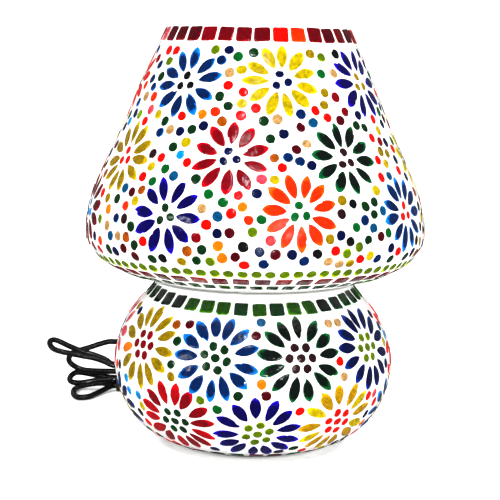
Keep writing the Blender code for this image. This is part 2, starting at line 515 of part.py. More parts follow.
# the body as a mesh, so that the flex and pin sockets can be cut in it
bpy.context.view_layer.update()
solid = bpy.data.meshes.new_from_object(plug.evaluated_get(bpy.context.evaluated_depsgraph_get()))
bm = bmesh.new()
bm.from_mesh(solid)
bmesh.ops.remove_doubles(bm, verts=bm.verts, dist=0.00001)
bm.to_mesh(solid)
bm.free()
solid.name = "plug_body"
bpy.data.objects.remove(plug, do_unlink=True)
solid.materials.clear()
plug = add("plug_body", solid, "black_plastic", (PLUG_X, PLUG_Y, PLUG_Z))
cut(plug, cutter("bar", "plug_flex_way", (CORD_R + 0.4, 16.0), (PLUG_X, PLUG_Y, PLUG_Z), (0, math.pi / 2, 0), 20))
for label, sy in (("near", -1), ("far", 1)):
    cut(plug, cutter("bar", "pin_socket_" + label, (2.35, 20.0), (PLUG_X + 37.0, PLUG_Y + sy * 8.8, PLUG_Z),
                     (0, math.pi / 2, 0), 16))
    turned("plug_pin_" + label, [
        (0.0, 28.0), (1.4, 27.6), (2.0, 26.4), (2.0, 0.0), (0.0, 0.0)], "nickel", 16,
        (PLUG_X + 28.0, PLUG_Y + sy * 8.8, PLUG_Z), (0, math.pi / 2, 0))
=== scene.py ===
"""Looks for the mosaic glass table lamp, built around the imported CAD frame.

Units in the helpers are millimetres; meshes are made in metres in the row frame.
Bearings run from the front (-Y), positive to the right (+X).
"""
import json
import math
import random

import bmesh
import bpy
import numpy as np
from mathutils import Euler, Matrix, Vector, kdtree


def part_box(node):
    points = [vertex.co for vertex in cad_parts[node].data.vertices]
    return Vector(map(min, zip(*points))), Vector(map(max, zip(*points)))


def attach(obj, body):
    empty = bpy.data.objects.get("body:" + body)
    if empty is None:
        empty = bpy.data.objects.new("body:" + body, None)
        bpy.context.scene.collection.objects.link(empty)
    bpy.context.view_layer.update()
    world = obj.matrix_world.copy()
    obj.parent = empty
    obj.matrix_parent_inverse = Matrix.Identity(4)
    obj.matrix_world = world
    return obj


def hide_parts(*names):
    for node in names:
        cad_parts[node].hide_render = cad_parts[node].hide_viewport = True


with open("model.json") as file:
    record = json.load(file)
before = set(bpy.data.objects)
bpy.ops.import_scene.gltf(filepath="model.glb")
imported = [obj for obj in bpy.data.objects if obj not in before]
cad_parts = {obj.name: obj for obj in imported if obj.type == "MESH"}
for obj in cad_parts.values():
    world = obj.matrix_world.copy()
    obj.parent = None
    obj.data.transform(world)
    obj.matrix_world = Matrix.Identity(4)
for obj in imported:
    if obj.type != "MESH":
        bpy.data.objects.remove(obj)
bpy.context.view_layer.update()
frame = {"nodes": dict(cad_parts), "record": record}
NODES = frame["nodes"]
MM = 0.001
rng = random.Random(71)

# ------------------------------------------------------------------------------------------------
# node helpers
# ------------------------------------------------------------------------------------------------


def srgb(h):
    h = h.lstrip("#")
    c = [int(h[i:i + 2], 16) / 255 for i in (0, 2, 4)]
    return tuple(x / 12.92 if x <= 0.04045 else ((x + 0.055) / 1.055) ** 2.4 for x in c)


GLASS_GAIN = 0.66


class Mat:
    """A small wrapper for building node materials."""

    def __init__(self, name):
        self.m = bpy.data.materials.new(name)
        self.m.use_nodes = True
        self.t = self.m.node_tree
        self.bsdf = self.t.nodes["Principled BSDF"]
        self.out = self.t.nodes["Material Output"]

    def node(self, kind, **props):
        n = self.t.nodes.new(kind)
        for k, v in props.items():
            setattr(n, k, v)
        return n

    def link(self, a, b):
        self.t.links.new(a, b)

    def put(self, node, name, value):
        s = node.inputs[name]
        if hasattr(value, "is_output") or isinstance(value, bpy.types.NodeSocket):
            self.link(value, s)
        else:
            s.default_value = value

    def coord(self, scale=1.0):
        tc = self.node("ShaderNodeTexCoord")
        mp = self.node("ShaderNodeMapping")
        self.link(tc.outputs["Object"], mp.inputs["Vector"])
        mp.inputs["Scale"].default_value = (scale, scale, scale) if not isinstance(scale, tuple) else scale
        return mp.outputs["Vector"]

    def noise(self, vec, scale, detail=3.0, rough=0.55, distortion=0.0):
        n = self.node("ShaderNodeTexNoise")
        self.link(vec, n.inputs["Vector"])
        n.inputs["Scale"].default_value = scale
        n.inputs["Detail"].default_value = detail
        n.inputs["Roughness"].default_value = rough
        n.inputs["Distortion"].default_value = distortion
        return n.outputs["Fac"]

    def voronoi(self, vec, scale, feature="F1"):
        n = self.node("ShaderNodeTexVoronoi", feature=feature)
        self.link(vec, n.inputs["Vector"])
        n.inputs["Scale"].default_value = scale
        return n.outputs["Distance"]

    def ramp(self, fac, stops):
        n = self.node("ShaderNodeValToRGB")
        self.link(fac, n.inputs["Fac"])
        e = n.color_ramp.elements
        while len(e) > 1:
            e.remove(e[-1])
        e[0].position = stops[0][0]
        e[0].color = self.rgba(stops[0][1])
        for p, c in stops[1:]:
            x = e.new(p)
            x.color = self.rgba(c)
        return n.outputs["Color"]

    @staticmethod
    def rgba(c):
        if isinstance(c, (int, float)):
            return (c, c, c, 1)
        return tuple(c) if len(c) == 4 else (*c, 1)

    def remap(self, fac, a, b, c, d):
        n = self.node("ShaderNodeMapRange")
        self.link(fac, n.inputs["Value"])
        for k, v in zip(("From Min", "From Max", "To Min", "To Max"), (a, b, c, d)):
            n.inputs[k].default_value = v
        return n.outputs["Result"]

    def math(self, op, a, b=None):
        n = self.node("ShaderNodeMath", operation=op)
        for i, v in enumerate((a, b)):
            if v is None:
                continue
            if isinstance(v, (int, float)):
                n.inputs[i].default_value = v
            else:
                self.link(v, n.inputs[i])
        return n.outputs[0]

    def mix(self, fac, a, b, mode="MIX"):
        n = self.node("ShaderNodeMix", data_type="RGBA", blend_type=mode)
        for name, v in ((0, fac), (6, a), (7, b)):
            if isinstance(v, (int, float)):
                n.inputs[name].default_value = v
            elif isinstance(v, tuple):
                n.inputs[name].default_value = self.rgba(v)
            else:
                self.link(v, n.inputs[name])
        return n.outputs[2]

    def attr(self, name, what="Fac"):
        n = self.node("ShaderNodeAttribute", attribute_name=name)
        return n.outputs[what]

    def bump(self, height, strength=0.3, distance=0.0002, normal=None):
        n = self.node("ShaderNodeBump")
        n.inputs["Strength"].default_value = strength
        n.inputs["Distance"].default_value = distance
        self.link(height, n.inputs["Height"])
        if normal is not None:
            self.link(normal, n.inputs["Normal"])
        return n.outputs["Normal"]

    def set(self, **kw):
        for k, v in kw.items():
            name = k.replace("_", " ")
            s = self.bsdf.inputs[name]
            if isinstance(v, bpy.types.NodeSocket):
                self.link(v, s)
            elif isinstance(v, tuple) and len(v) == 3:
                s.default_value = (*v, 1) if s.type == "RGBA" else v
            else:
                s.default_value = v
        return self


# ------------------------------------------------------------------------------------------------
# materials
# ------------------------------------------------------------------------------------------------


def mat_tile():
    """Saturated glass: dark in the body, brighter where light gets in at the edge and the outer tip.  Some colours are
    backed with foil and look mottled."""
    m = Mat("mosaic_glass")
    vec = m.coord()
    deep, rim = m.attr("deep", "Color"), m.attr("rim", "Color")
    edge, tip, rnd, foil, gloss = m.attr("edge"), m.attr("tip"), m.attr("rnd"), m.attr("foil"), m.attr("gloss")
    wob = m.noise(vec, 420.0, 3.0, 0.6)
    e = m.math("ADD", edge, m.remap(wob, 0.3, 0.7, -0.25, 0.25))
    e = m.math("ADD", e, m.math("MULTIPLY", tip, 0.62))
    e = m.math("ADD", e, m.remap(rnd, 0.0, 1.0, -0.22, 0.20))
    k = m.node("ShaderNodeMapRange", interpolation_type="SMOOTHSTEP")
    m.link(e, k.inputs["Value"])
    k.inputs["From Min"].default_value = 0.62
    k.inputs["From Max"].default_value = 1.42
    # painted light: the glass is mixed towards its brighter rim colour at the edge of each piece and at its tip
    col = m.mix(k.outputs["Result"], deep, rim)
    # slow streaks in the melt, and the crinkle of the foil
    streak = m.remap(m.noise(vec, 190.0, 2.0, 0.5, 1.4), 0.32, 0.68, 0.72, 1.22)
    crinkle = m.noise(vec, 620.0, 5.0, 0.72, 1.1)
    mottle = m.remap(crinkle, 0.36, 0.64, 0.42, 1.35)
    gain = m.node("ShaderNodeMix", data_type="FLOAT")
    m.link(foil, gain.inputs[0])
    m.link(streak, gain.inputs[2])
    m.link(m.math("MULTIPLY", mottle, streak), gain.inputs[3])
    cn = m.node("ShaderNodeCombineColor")
    for c in range(3):
        m.link(gain.outputs[0], cn.inputs[c])
    col = m.mix(1.0, col, cn.outputs[0], "MULTIPLY")
    # small seeds in the glass
    speck = m.ramp(m.voronoi(vec, 900.0), [(0.0, 0.35), (0.09, 0.0)])
    col = m.mix(m.math("MULTIPLY", speck, 0.2), col, (1.0, 1.0, 1.0))
    dens = m.node("ShaderNodeHueSaturation")
    dens.inputs["Saturation"].default_value = 1.06
    dens.inputs["Value"].default_value = GLASS_GAIN
    m.link(col, dens.inputs["Color"])
    rough = m.remap(m.noise(vec, 260.0, 4.0, 0.6), 0.3, 0.7, 0.02, 0.06)
    h = m.math("ADD", m.noise(vec, 210.0, 2.0, 0.5), m.math("MULTIPLY", m.noise(vec, 1400.0, 2.0, 0.5), 0.10))
    m.set(Base_Color=dens.outputs["Color"], Roughness=rough, IOR=1.5, Specular_IOR_Level=m.math("MULTIPLY", gloss, 0.36), Coat_Weight=m.math("MULTIPLY", gloss, 0.1),
          Coat_Roughness=0.03, Normal=m.bump(h, 0.55, 0.0011))
    return m.m


def mat_grout():
    """Glossy white filler between the pieces, slightly uneven, with faint grey dirt and pinholes."""
    m = Mat("white_grout")
    vec = m.coord()
    broad = m.noise(vec, 38.0, 3.0, 0.55)
    fine = m.noise(vec, 520.0, 4.0, 0.6)
    col = m.ramp(broad, [(0.25, srgb("#f2f1ee")), (0.6, srgb("#fbfbfa")), (0.8, srgb("#f5f4f0"))])
    dirt = m.ramp(m.noise(vec, 160.0, 5.0, 0.7), [(0.64, 0.0), (0.74, 0.5)])
    col = m.mix(m.math("MULTIPLY", dirt, 0.18), col, srgb("#b9b6ad"))
    pits = m.ramp(m.voronoi(vec, 330.0), [(0.0, 1.0), (0.085, 0.0)])
    col = m.mix(m.math("MULTIPLY", pits, 0.22), col, srgb("#8e8b84"))
    rough = m.remap(fine, 0.3, 0.7, 0.10, 0.26)
    h = m.math("ADD", m.noise(vec, 120.0, 3.0, 0.5), m.math("MULTIPLY", fine, 0.12))
    h = m.math("SUBTRACT", h, m.math("MULTIPLY", pits, 0.25))
    m.set(Base_Color=col, Roughness=rough, IOR=1.5, Coat_Weight=0.7, Coat_Roughness=0.06,
          Subsurface_Weight=0.0, Normal=m.bump(h, 0.30, 0.0007))
    return m.m


def mat_clear_glass():
    m = Mat("blown_glass")
    vec = m.coord()
    h = m.noise(vec, 26.0, 2.0, 0.5)
    seeds = m.ramp(m.voronoi(vec, 210.0), [(0.0, 0.6), (0.05, 0.0)])
    col = m.mix(m.noise(vec, 12.0), srgb("#f1f6f4"), srgb("#e3efea"))
    col = m.mix(seeds, col, srgb("#ffffff"))
    m.set(Base_Color=col, Roughness=m.remap(m.noise(vec, 90.0), 0.3, 0.7, 0.10, 0.24), IOR=1.5, Transmission_Weight=0.35,
          Coat_Weight=0.4, Coat_Roughness=0.04, Normal=m.bump(h, 0.4, 0.002))
    return m.m


def mat_opal():
    m = Mat("opal_glass")
    vec = m.coord()
    n = m.noise(vec, 30.0, 3.0)
    m.set(Base_Color=m.mix(n, srgb("#f7f5ee"), srgb("#fffefa")), Roughness=m.remap(m.noise(vec, 700.0, 4.0), 0.3, 0.7, 0.28, 0.42),
          Subsurface_Weight=0.25, Subsurface_Radius=(0.01, 0.009, 0.008), Subsurface_Scale=1.0, Coat_Weight=0.15,
          Normal=m.bump(m.noise(vec, 900.0, 2.0), 0.12, 0.0002))
    return m.m


def mat_plastic(name, base, hi, r0, r1, grain=900.0, coat=0.0):
    m = Mat(name)
    vec = m.coord()
    n = m.noise(vec, 60.0, 4.0, 0.6)
    g = m.noise(vec, grain, 3.0, 0.6)
    wear = m.ramp(m.noise(vec, 210.0, 5.0, 0.7), [(0.60, 0.0), (0.75, 1.0)])
    col = m.mix(n, srgb(base), srgb(hi))
    col = m.mix(m.math("MULTIPLY", wear, 0.25), col, srgb("#6a6a6c"))
    m.set(Base_Color=col, Roughness=m.remap(g, 0.3, 0.7, r0, r1), Coat_Weight=coat, Coat_Roughness=0.12,
          Normal=m.bump(g, 0.25, 0.0001))
    return m.m


def mat_rubber(name, base, hi):
    m = Mat(name)
    vec = m.coord()
    g = m.noise(vec, 1500.0, 3.0, 0.6)
    dust = m.ramp(m.noise(vec, 130.0, 5.0, 0.7), [(0.52, 0.0), (0.72, 1.0)])
    m.set(Base_Color=m.mix(m.math("MULTIPLY", dust, 0.3), srgb(base), srgb(hi)), Roughness=m.remap(g, 0.3, 0.7, 0.55, 0.8),
          Normal=m.bump(g, 0.4, 0.00012))
    return m.m


def mat_felt():
    m = Mat("felt")
    vec = m.coord()
    f = m.noise(vec, 1900.0, 5.0, 0.75, 1.5)
    col = m.mix(f, srgb("#141614"), srgb("#34382f"))
    m.set(Base_Color=col, Roughness=m.remap(f, 0.2, 0.8, 0.85, 1.0), Sheen_Weight=0.6, Sheen_Roughness=0.5,
          Normal=m.bump(f, 0.9, 0.0004))
    return m.m


def mat_metal(name, base, hi, r0, r1, spin=True):
    """Turned or rolled metal: fine marks round the axis, smudges and dull spots."""
    m = Mat(name)
    vec = m.coord((1.0, 1.0, 14.0) if spin else (14.0, 1.0, 1.0))
    v2 = m.coord()
    marks = m.noise(vec, 420.0, 3.0, 0.6)
    smear = m.noise(v2, 90.0, 4.0, 0.6)
    tarn = m.ramp(m.noise(v2, 240.0, 5.0, 0.7), [(0.55, 0.0), (0.75, 1.0)])
    col = m.mix(smear, srgb(base), srgb(hi))
    col = m.mix(m.math("MULTIPLY", tarn, 0.35), col, tuple(0.45 * x for x in srgb(base)))
    m.set(Base_Color=col, Metallic=1.0, Roughness=m.remap(smear, 0.3, 0.7, r0, r1), Normal=m.bump(marks, 0.2, 0.00008))
    return m.m


def mat_porcelain():
    m = Mat("porcelain")
    vec = m.coord()
    n = m.noise(vec, 90.0, 4.0)
    spots = m.ramp(m.voronoi(vec, 700.0), [(0.0, 1.0), (0.07, 0.0)])
    col = m.mix(m.math("MULTIPLY", spots, 0.4), m.mix(n, srgb("#efece2"), srgb("#faf8f2")), srgb("#9b8f7c"))
    m.set(Base_Color=col, Roughness=m.remap(n, 0.3, 0.7, 0.22, 0.4), Coat_Weight=0.3, Normal=m.bump(m.noise(vec, 500.0), 0.2, 0.0001))
    return m.m


def mat_pvc():
    """Glossy black flex sheath: slight print-through of the cores, scuffs, dust."""
    m = Mat("pvc_sheath")
    vec = m.coord()
    n = m.noise(vec, 70.0, 3.0)
    scuff = m.ramp(m.noise(vec, 420.0, 5.0, 0.75), [(0.58, 0.0), (0.72, 1.0)])
    col = m.mix(n, srgb("#050506"), srgb("#0c0c0d"))
    col = m.mix(m.math("MULTIPLY", scuff, 0.07), col, srgb("#77787c"))
    rough = m.math("ADD", m.remap(n, 0.3, 0.7, 0.16, 0.26), m.math("MULTIPLY", scuff, 0.15))
    m.set(Base_Color=col, Roughness=rough, Specular_IOR_Level=0.4, Coat_Weight=0.2, Coat_Roughness=0.12,
          Normal=m.bump(m.noise(vec, 160.0, 2.0), 0.35, 0.0003))
    return m.m


M = {
    "tile": mat_tile(),
    "grout": mat_grout(),
    "clear_glass": mat_clear_glass(),
    "opal_glass": mat_opal(),
    "black_plastic": mat_plastic("black_moulding", "#0c0c0d", "#19191b", 0.30, 0.46, coat=0.15),
    "black_rubber": mat_rubber("black_rubber", "#0f0f10", "#55544f"),
    "clear_rubber": mat_rubber("milky_silicone", "#e9e8e2", "#f4f3ef"),
    "felt": mat_felt(),
    "black_pvc": mat_pvc(),
    "zinc_steel": mat_metal("zinc_plate", "#9b9da3", "#c4c6cb", 0.30, 0.48),
    "brass": mat_metal("brass", "#b08a3c", "#d9b765", 0.26, 0.42),
    "nickel": mat_metal("nickel_plate", "#a9a59d", "#d6d2c9", 0.18, 0.34),
    "porcelain": mat_porcelain(),
    "tungsten": mat_metal("tungsten", "#4a4846", "#6b6866", 0.35, 0.5),
}

# ------------------------------------------------------------------------------------------------
# geometry helpers
# ------------------------------------------------------------------------------------------------


def make(name, verts, faces, mat, body, smooth=True, angle=40.0):
    """verts in mm."""
    me = bpy.data.meshes.new(name)
    me.from_pydata((np.asarray(verts, float) * MM).tolist(), [], faces)
    me.materials.append(M[mat])
    ob = bpy.data.objects.new(name, me)
    bpy.context.scene.collection.objects.link(ob)
    if smooth:
        me.shade_smooth()
        me.set_sharp_from_angle(angle=math.radians(angle))
    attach(ob, body)
    return ob


def catmull(points, n=10, closed=False):
    """A smooth line through points that never overshoots, n vertices a span."""
    P = [np.array(p, float) for p in points]
    P = [2 * P[0] - P[1]] + P + [2 * P[-1] - P[-2]]
    out = []
    for i in range(1, len(P) - 2):
        p0, p1, p2, p3 = P[i - 1:i + 3]
        d1 = max(np.linalg.norm(p1 - p0), 1e-6) ** 0.5
        d2 = max(np.linalg.norm(p2 - p1), 1e-6) ** 0.5
        d3 = max(np.linalg.norm(p3 - p2), 1e-6) ** 0.5
        nn = n(np.linalg.norm(p2 - p1)) if callable(n) else n
        for k in range(nn):
            t = d1 + d2 * k / nn
            a1 = p0 * ((d1 - t) / d1) + p1 * (t / d1)
            a2 = p1 * ((d1 + d2 - t) / d2) + p2 * ((t - d1) / d2)
            a3 = p2 * ((d1 + d2 + d3 - t) / d3) + p3 * ((t - d1 - d2) / d3)
            b1 = a1 * ((d1 + d2 - t) / (d1 + d2)) + a2 * (t / (d1 + d2))
            b2 = a2 * ((d1 + d2 + d3 - t) / (d2 + d3)) + a3 * ((t - d1) / (d2 + d3))
            out.append(b1 * ((d1 + d2 - t) / d2) + b2 * ((t - d1) / d2))
    out.append(P[-2])
    return np.array(out)


def round_profile(pts, r, closed, seg=3):
    """Round the corners of a profile by about r."""
    n = len(pts)
    out = []
    for i, p in enumerate(pts):
        p = np.array(p, float)
        if not closed and i in (0, n - 1):
            out.append(p)
            continue
        a, b = np.array(pts[i - 1], float), np.array(pts[(i + 1) % n], float)
        da, db = a - p, b - p
        la, lb = np.linalg.norm(da), np.linalg.norm(db)
        if la < 1e-6 or lb < 1e-6:
            out.append(p)
            continue
        da, db = da / la, db / lb
        turn = math.pi - math.acos(max(-1, min(1, float(da @ db))))
        if turn < math.radians(12):
            out.append(p)
            continue
        q = min(r * math.tan(turn / 2), la * 0.42, lb * 0.42)
        s, e = p + da * q, p + db * q
        for k in range(seg + 1):
            t = k / seg
            out.append((1 - t) ** 2 * s + 2 * t * (1 - t) * p + t * t * e)
    return np.array(out)


def lathe(profile, steps, rot=None, loc=(0, 0, 0), wobble=None):
    """verts, faces of a turned solid; the profile runs down its outer side.  Ends on the axis are capped there."""
    prof = np.asarray(profile, float)
    closed = not (abs(prof[0][0]) < 1e-6 and abs(prof[-1][0]) < 1e-6)
    n = len(prof)
    verts, rows = [], []
    for i, (r, z) in enumerate(prof):
        if abs(r) < 1e-6:
            rows.append([len(verts)] * steps)
            verts.append((0.0, 0.0, z))
        else:
            rows.append(list(range(len(verts), len(verts) + steps)))
            for k in range(steps):
                a = math.tau * k / steps
                verts.append((r * math.cos(a), r * math.sin(a), z))
    faces = []
    for i in range(n if closed else n - 1):
        A, B = rows[i], rows[(i + 1) % n]
        for k in range(steps):
            q = (k + 1) % steps
            f = [A[k], B[k], B[q], A[q]]
            g = []
            for v in f:
                if v not in g:
                    g.append(v)
            if len(g) > 2:
                faces.append(g)
    V = np.array(verts, float)
    if rot is not None:
        V = V @ np.array(rot.to_3x3() if hasattr(rot, "to_3x3") else rot, float).T
    return V + np.array(loc, float), faces


def turned(name, profile, mat, body, node, steps=64, rnd=0.25, rot=None, loc=(0, 0, 0)):
    """A turned piece with softened corners that stands for a CAD node."""
    prof = [tuple(p) for p in profile]
    closed = not (abs(prof[0][0]) < 1e-6 and abs(prof[-1][0]) < 1e-6)
    if rnd:
        prof = round_profile(prof, rnd, closed)
    V, F = lathe(prof, steps, rot, loc)
    ob = make(name, V, F, mat, body)
    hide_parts(node)
    return ob


def tube_mesh(path, radius, sides=18, ripple=None):
    """A closed round wire along a smooth path (mm)."""
    P = np.asarray(path, float)
    T = np.gradient(P, axis=0)
    T /= np.linalg.norm(T, axis=1)[:, None]
    ref = np.array([0.0, 0.0, 1.0]) if abs(T[0][2]) < 0.9 else np.array([1.0, 0.0, 0.0])
    n = ref - T[0] * (ref @ T[0])
    n /= np.linalg.norm(n)
    verts, faces = [], []
    for i, (p, t) in enumerate(zip(P, T)):
        n = n - t * (n @ t)
        n /= np.linalg.norm(n)
        b = np.cross(t, n)
        for k in range(sides):
            a = math.tau * k / sides
            rr = radius * (1 + (ripple(i, a) if ripple else 0.0))
            verts.append(p + rr * (math.cos(a) * n + math.sin(a) * b))
    m = len(P)
    for i in range(m - 1):
        for k in range(sides):
            q = (k + 1) % sides
            faces.append([i * sides + k, i * sides + q, (i + 1) * sides + q, (i + 1) * sides + k])
    faces.append(list(range(sides))[::-1])
    faces.append([(m - 1) * sides + k for k in range(sides)])
    return np.array(verts), faces


# ------------------------------------------------------------------------------------------------
# the two mosaic surfaces
# ------------------------------------------------------------------------------------------------
RIM_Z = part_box("shade_mosaic_skin")[1].z / MM
RIM_R, SHADE_R = 54.9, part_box("shade_mosaic_skin")[1].x / MM
WAIST_R, WAIST_Z = 60.4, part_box("base_mosaic_skin")[1].z / MM
BASE_R, FOOT_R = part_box("base_mosaic_skin")[1].x / MM, 45.6
SHADE_PROFILE = [
    (RIM_R, RIM_Z), (59.0, 245.4), (64.3, 233.3), (70.9, 219.3), (79.6, 197.6), (89.5, 176.0),
    (98.6, 155.2), (101.3, 145.0), (SHADE_R, 133.4), (102.1, 126.2), (98.9, 120.9), (94.4, 115.4),
    (85.7, 110.2), (77.1, 106.3), (WAIST_R + 0.4, 101.8),
]
BASE_PROFILE = [
    (WAIST_R, WAIST_Z), (64.3, 94.5), (70.2, 88.3), (76.8, 78.7), (81.9, 67.0), (BASE_R, 52.0),
    (83.3, 39.0), (79.1, 27.8), (72.4, 17.4), (61.2, 8.0), (FOOT_R, 1.0),
]


class Surface:
    """A turned surface addressed by bearing (radians) and distance down its outside (mm)."""

    def __init__(self, pts):
        self.c = catmull(pts, 24)
        self.L = np.concatenate([[0], np.cumsum(np.hypot(*np.diff(self.c, axis=0).T))])
        self.len = self.L[-1]

    def rz(self, s):
        """Radius and height; the surface carries on straight past its ends."""
        s = np.asarray(s, float)
        first = (self.c[1] - self.c[0]) / (self.L[1] - self.L[0])
        last = (self.c[-1] - self.c[-2]) / (self.L[-1] - self.L[-2])
        before, after = np.minimum(s, 0.0), np.maximum(s - self.len, 0.0)
        return (np.interp(s, self.L, self.c[:, 0]) + before * first[0] + after * last[0],
                np.interp(s, self.L, self.c[:, 1]) + before * first[1] + after * last[1])

    def pos(self, b, s, w=0.0):
        s = np.asarray(s, float)
        r, z = self.rz(s)
        r0, z0 = self.rz(s - 0.4)
        r1, z1 = self.rz(s + 0.4)
        dr, dz = r1 - r0, z1 - z0
        n = np.hypot(dr, dz)
        nr, nz = -dz / n, dr / n
        r = r + nr * w
        z = z + nz * w
        return np.stack([r * np.sin(b), -r * np.cos(b), z + 0 * b], -1)

    def axes(self, b, s):
        """Right, up and outward directions at a point."""
        r0, z0 = self.rz(s - 0.4)
        r1, z1 = self.rz(s + 0.4)
        d = np.array([r0 - r1, z0 - z1])
        d /= np.linalg.norm(d)
        R = np.array([math.cos(b), math.sin(b), 0.0])
        U = np.array([d[0] * math.sin(b), -d[0] * math.cos(b), d[1]])
        return R, U, np.cross(R, U)


SHADE, BASE = Surface(SHADE_PROFILE), Surface(BASE_PROFILE)

# deep (body) colour of the glass, and the rim colour: painted light, the brighter glow where light gets in at the edge
# and outer tip of a piece, and a painted reflection of the pale table along the lower edge of rounds and squares
GLASS = {
    "navy": ("#090f36", "#17308c"), "blue": ("#0a1f4c", "#0c86fa"), "steel": ("#174a73", "#3f8fc4"),
    "sky": ("#3694d8", "#7ccbf4"), "indigo": ("#0e0a48", "#3027c4"), "black": ("#0a0a0d", "#2a1d22"),
    "inkgreen": ("#070f0c", "#0f6a34"), "dkgreen": ("#0a2a11", "#136420"), "green": ("#0c5420", "#1f9440"),
    "olive": ("#56700c", "#c8ec20"), "lime": ("#7a9e10", "#bfe024"), "yellow": ("#c2a806", "#f7e424"),
    "gold": ("#94760a", "#d8b824"), "orange": ("#ee7410", "#ffa828"), "redorange": ("#dd2a0c", "#ff6426"),
    "red": ("#d8120f", "#ff4038"), "dkred": ("#780c15", "#d02028"), "maroon": ("#450a12", "#8e1820"),
    "amber": ("#b88806", "#f6b412"), "crimson": ("#a30d14", "#e8252a"),
    "rim": ("#5f0f15", "#a8201f"), "dkbrown": ("#261013", "#4c2020"), "copper": ("#a04f27", "#d0804f"),
    "tan": ("#c29763", "#e6c79a"), "pink": ("#dd5361", "#f3979c"), "bottle": ("#1d440d", "#5cba26"),
}
GLASS = {k: (srgb(a), srgb(b)) for k, (a, b) in GLASS.items()}

FOIL = {"amber": 0.9, "yellow": 0.85, "gold": 0.9, "tan": 1.0, "copper": 0.8, "sky": 0.8, "lime": 0.6, "olive": 0.6, "orange": 0.5,
        "pink": 0.5, "bottle": 0.9, "steel": 0.5, "green": 0.35, "blue": 0.2}

# tile: surface, bearing (rad), s, kind, length, width, turn (rad from "right", anticlockwise), colour
tiles = []


def tile(surf, b, s, kind, length, width, turn, colour, tipdir=1.0):
    tiles.append(dict(surf=surf, b=b, s=s, kind=kind, l=length, w=width, turn=turn, c=colour, tip=tipdir,
                      r=rng.random()))


def place(surf, b0, s0, ang, dist):
    """A point dist mm from (b0, s0) towards ang (radians, anticlockwise from right)."""
    s = s0 - dist * math.sin(ang)
    r = float(surf.rz((s + s0) / 2)[0])
    return b0 + dist * math.cos(ang) / r, s


def flower(surf, bearing, s, colour, centre, petals, radius, leaf=(14.6, 6.0), dots=3, phase=None, odd=None):
    b0 = math.radians(bearing)
    if isinstance(petals, int):
        ph = rng.uniform(0, 360 / petals)
        petals = [ph + 360 * k / petals + rng.uniform(-3, 3) for k in range(petals)]
    for k, a in enumerate(petals):
        a = math.radians(a)
        ln, wd = leaf[0] * rng.uniform(0.90, 1.05), leaf[1] * rng.uniform(0.88, 1.10)
        b, ss = place(surf, b0, s, a, radius + rng.uniform(-0.4, 0.5))
        c = colour
        if odd and k in odd:
            c = odd[k]
        elif isinstance(colour, (list, tuple)):
            c = rng.choice(colour)
        tile(surf, b, ss, "leaf", ln, wd, a + rng.uniform(-0.07, 0.07), c)
    if dots == 3:
        for a, d in (phase or [(100 + rng.uniform(-10, 10), 4.0), (220 + rng.uniform(-10, 10), 4.3),
                               (335 + rng.uniform(-10, 10), 3.9)]):
            b, ss = place(surf, b0, s, math.radians(a), d)
            tile(surf, b, ss, "dot", rng.uniform(4.9, 5.5), rng.uniform(4.5, 5.1), rng.uniform(0, 3), centre, 0.0)
    else:
        tile(surf, b0, s, "dot", 5.6, 5.3, 0.0, centre, 0.0)
        ph = rng.uniform(0, 60)
        for k in range(6):
            b, ss = place(surf, b0, s, math.radians(ph + 60 * k), 7.0)
            tile(surf, b, ss, "dot", rng.uniform(5.2, 5.9), rng.uniform(4.9, 5.4), rng.uniform(0, 3), centre, 0.0)


# rows of flowers: bearing, s, colour, centre colour, how many petals
SHADE_FLOWERS = [
    (-35.8, 35.3, "blue", "black", 10, None),
    (11.0, 33.2, "yellow", "navy", 11, None),
    (58.0, 34.5, "indigo", "gold", 10, None),
    (101.0, 34.0, "green", "red", 10, None), (144.0, 35.0, "dkred", "sky", 11, None),
    (188.0, 33.6, "yellow", "maroon", 11, None), (231.0, 34.6, "navy", "orange", 10, None),
    (274.0, 35.5, "red", "dkgreen", 11, None),
    (-58.5, 83.0, "gold", "red", 11, None),
    (-9.8, 79.4, "dkred", "navy", 10, None),
    (34.8, 80.2, "inkgreen", "dkbrown", 10, None),
    (86.0, 83.0, "yellow", "navy", 11, None), (129.0, 80.5, "blue", "red", 10, None),
    (172.0, 82.0, "redorange", "dkgreen", 11, None), (215.0, 80.0, "inkgreen", "gold", 10, None),
    (258.0, 82.4, "indigo", "lime", 11, None),
    (-76.5, 118.0, "maroon", "sky", 11, None),
    (-30.2, 114.6, "indigo", "dkgreen", 10, None),
    (14.3, 110.8, "redorange", "green", 11, None),
    (59.3, 114.4, "blue", "red", 11, None),
    (104.5, 112.0, "gold", "dkred", 11, None), (149.5, 114.0, "dkred", "olive", 10, None),
    (194.5, 112.0, "navy", "yellow", 11, None), (239.0, 114.0, "yellow", "blue", 11, None),
]
BASE_FLOWERS = [
    (-89.0, 36.0, "pink", "navy", 13, None), (-52.2, 37.6, "gold", "dkred", 13, {6: "orange"}),
    (-15.2, 39.4, "blue", "dkgreen", 13, None),
    (19.5, 39.0, "inkgreen", "dkbrown", 13, None),
    (55.5, 37.6, "navy", "olive", 13, None),
    (91.0, 38.0, "red", "gold", 13, None), (127.0, 38.5, "gold", "navy", 13, None), (163.0, 38.0, "blue", "orange", 13, None),
    (199.0, 38.5, "dkred", "dkgreen", 13, None), (235.0, 38.0, "green", "red", 13, None),
    (-78.8, 80.0, "navy", "gold", 13, None),
    (-34.5, 81.0, ("dkred", "dkred", "crimson"), "dkgreen", 14, None),
    (2.5, 86.0, "indigo", "olive", 13, None),
    (39.0, 80.4, ("yellow", "amber", "amber"), "red", 13, None),
    (80.0, 81.0, "blue", "gold", 13, None), (120.0, 82.0, "red", "navy", 13, None), (160.0, 81.0, "inkgreen", "copper", 13, None),
    (200.0, 82.0, "yellow", "dkred", 13, None), (240.0, 81.0, "indigo", "green", 13, None),
]
for b, s, c, mid, petals, dots in SHADE_FLOWERS:
    if isinstance(petals, int) and c == "yellow":
        pass
    flower(SHADE, b, s, c, mid, petals, 14.9, (15.2, 6.7), 3, dots)
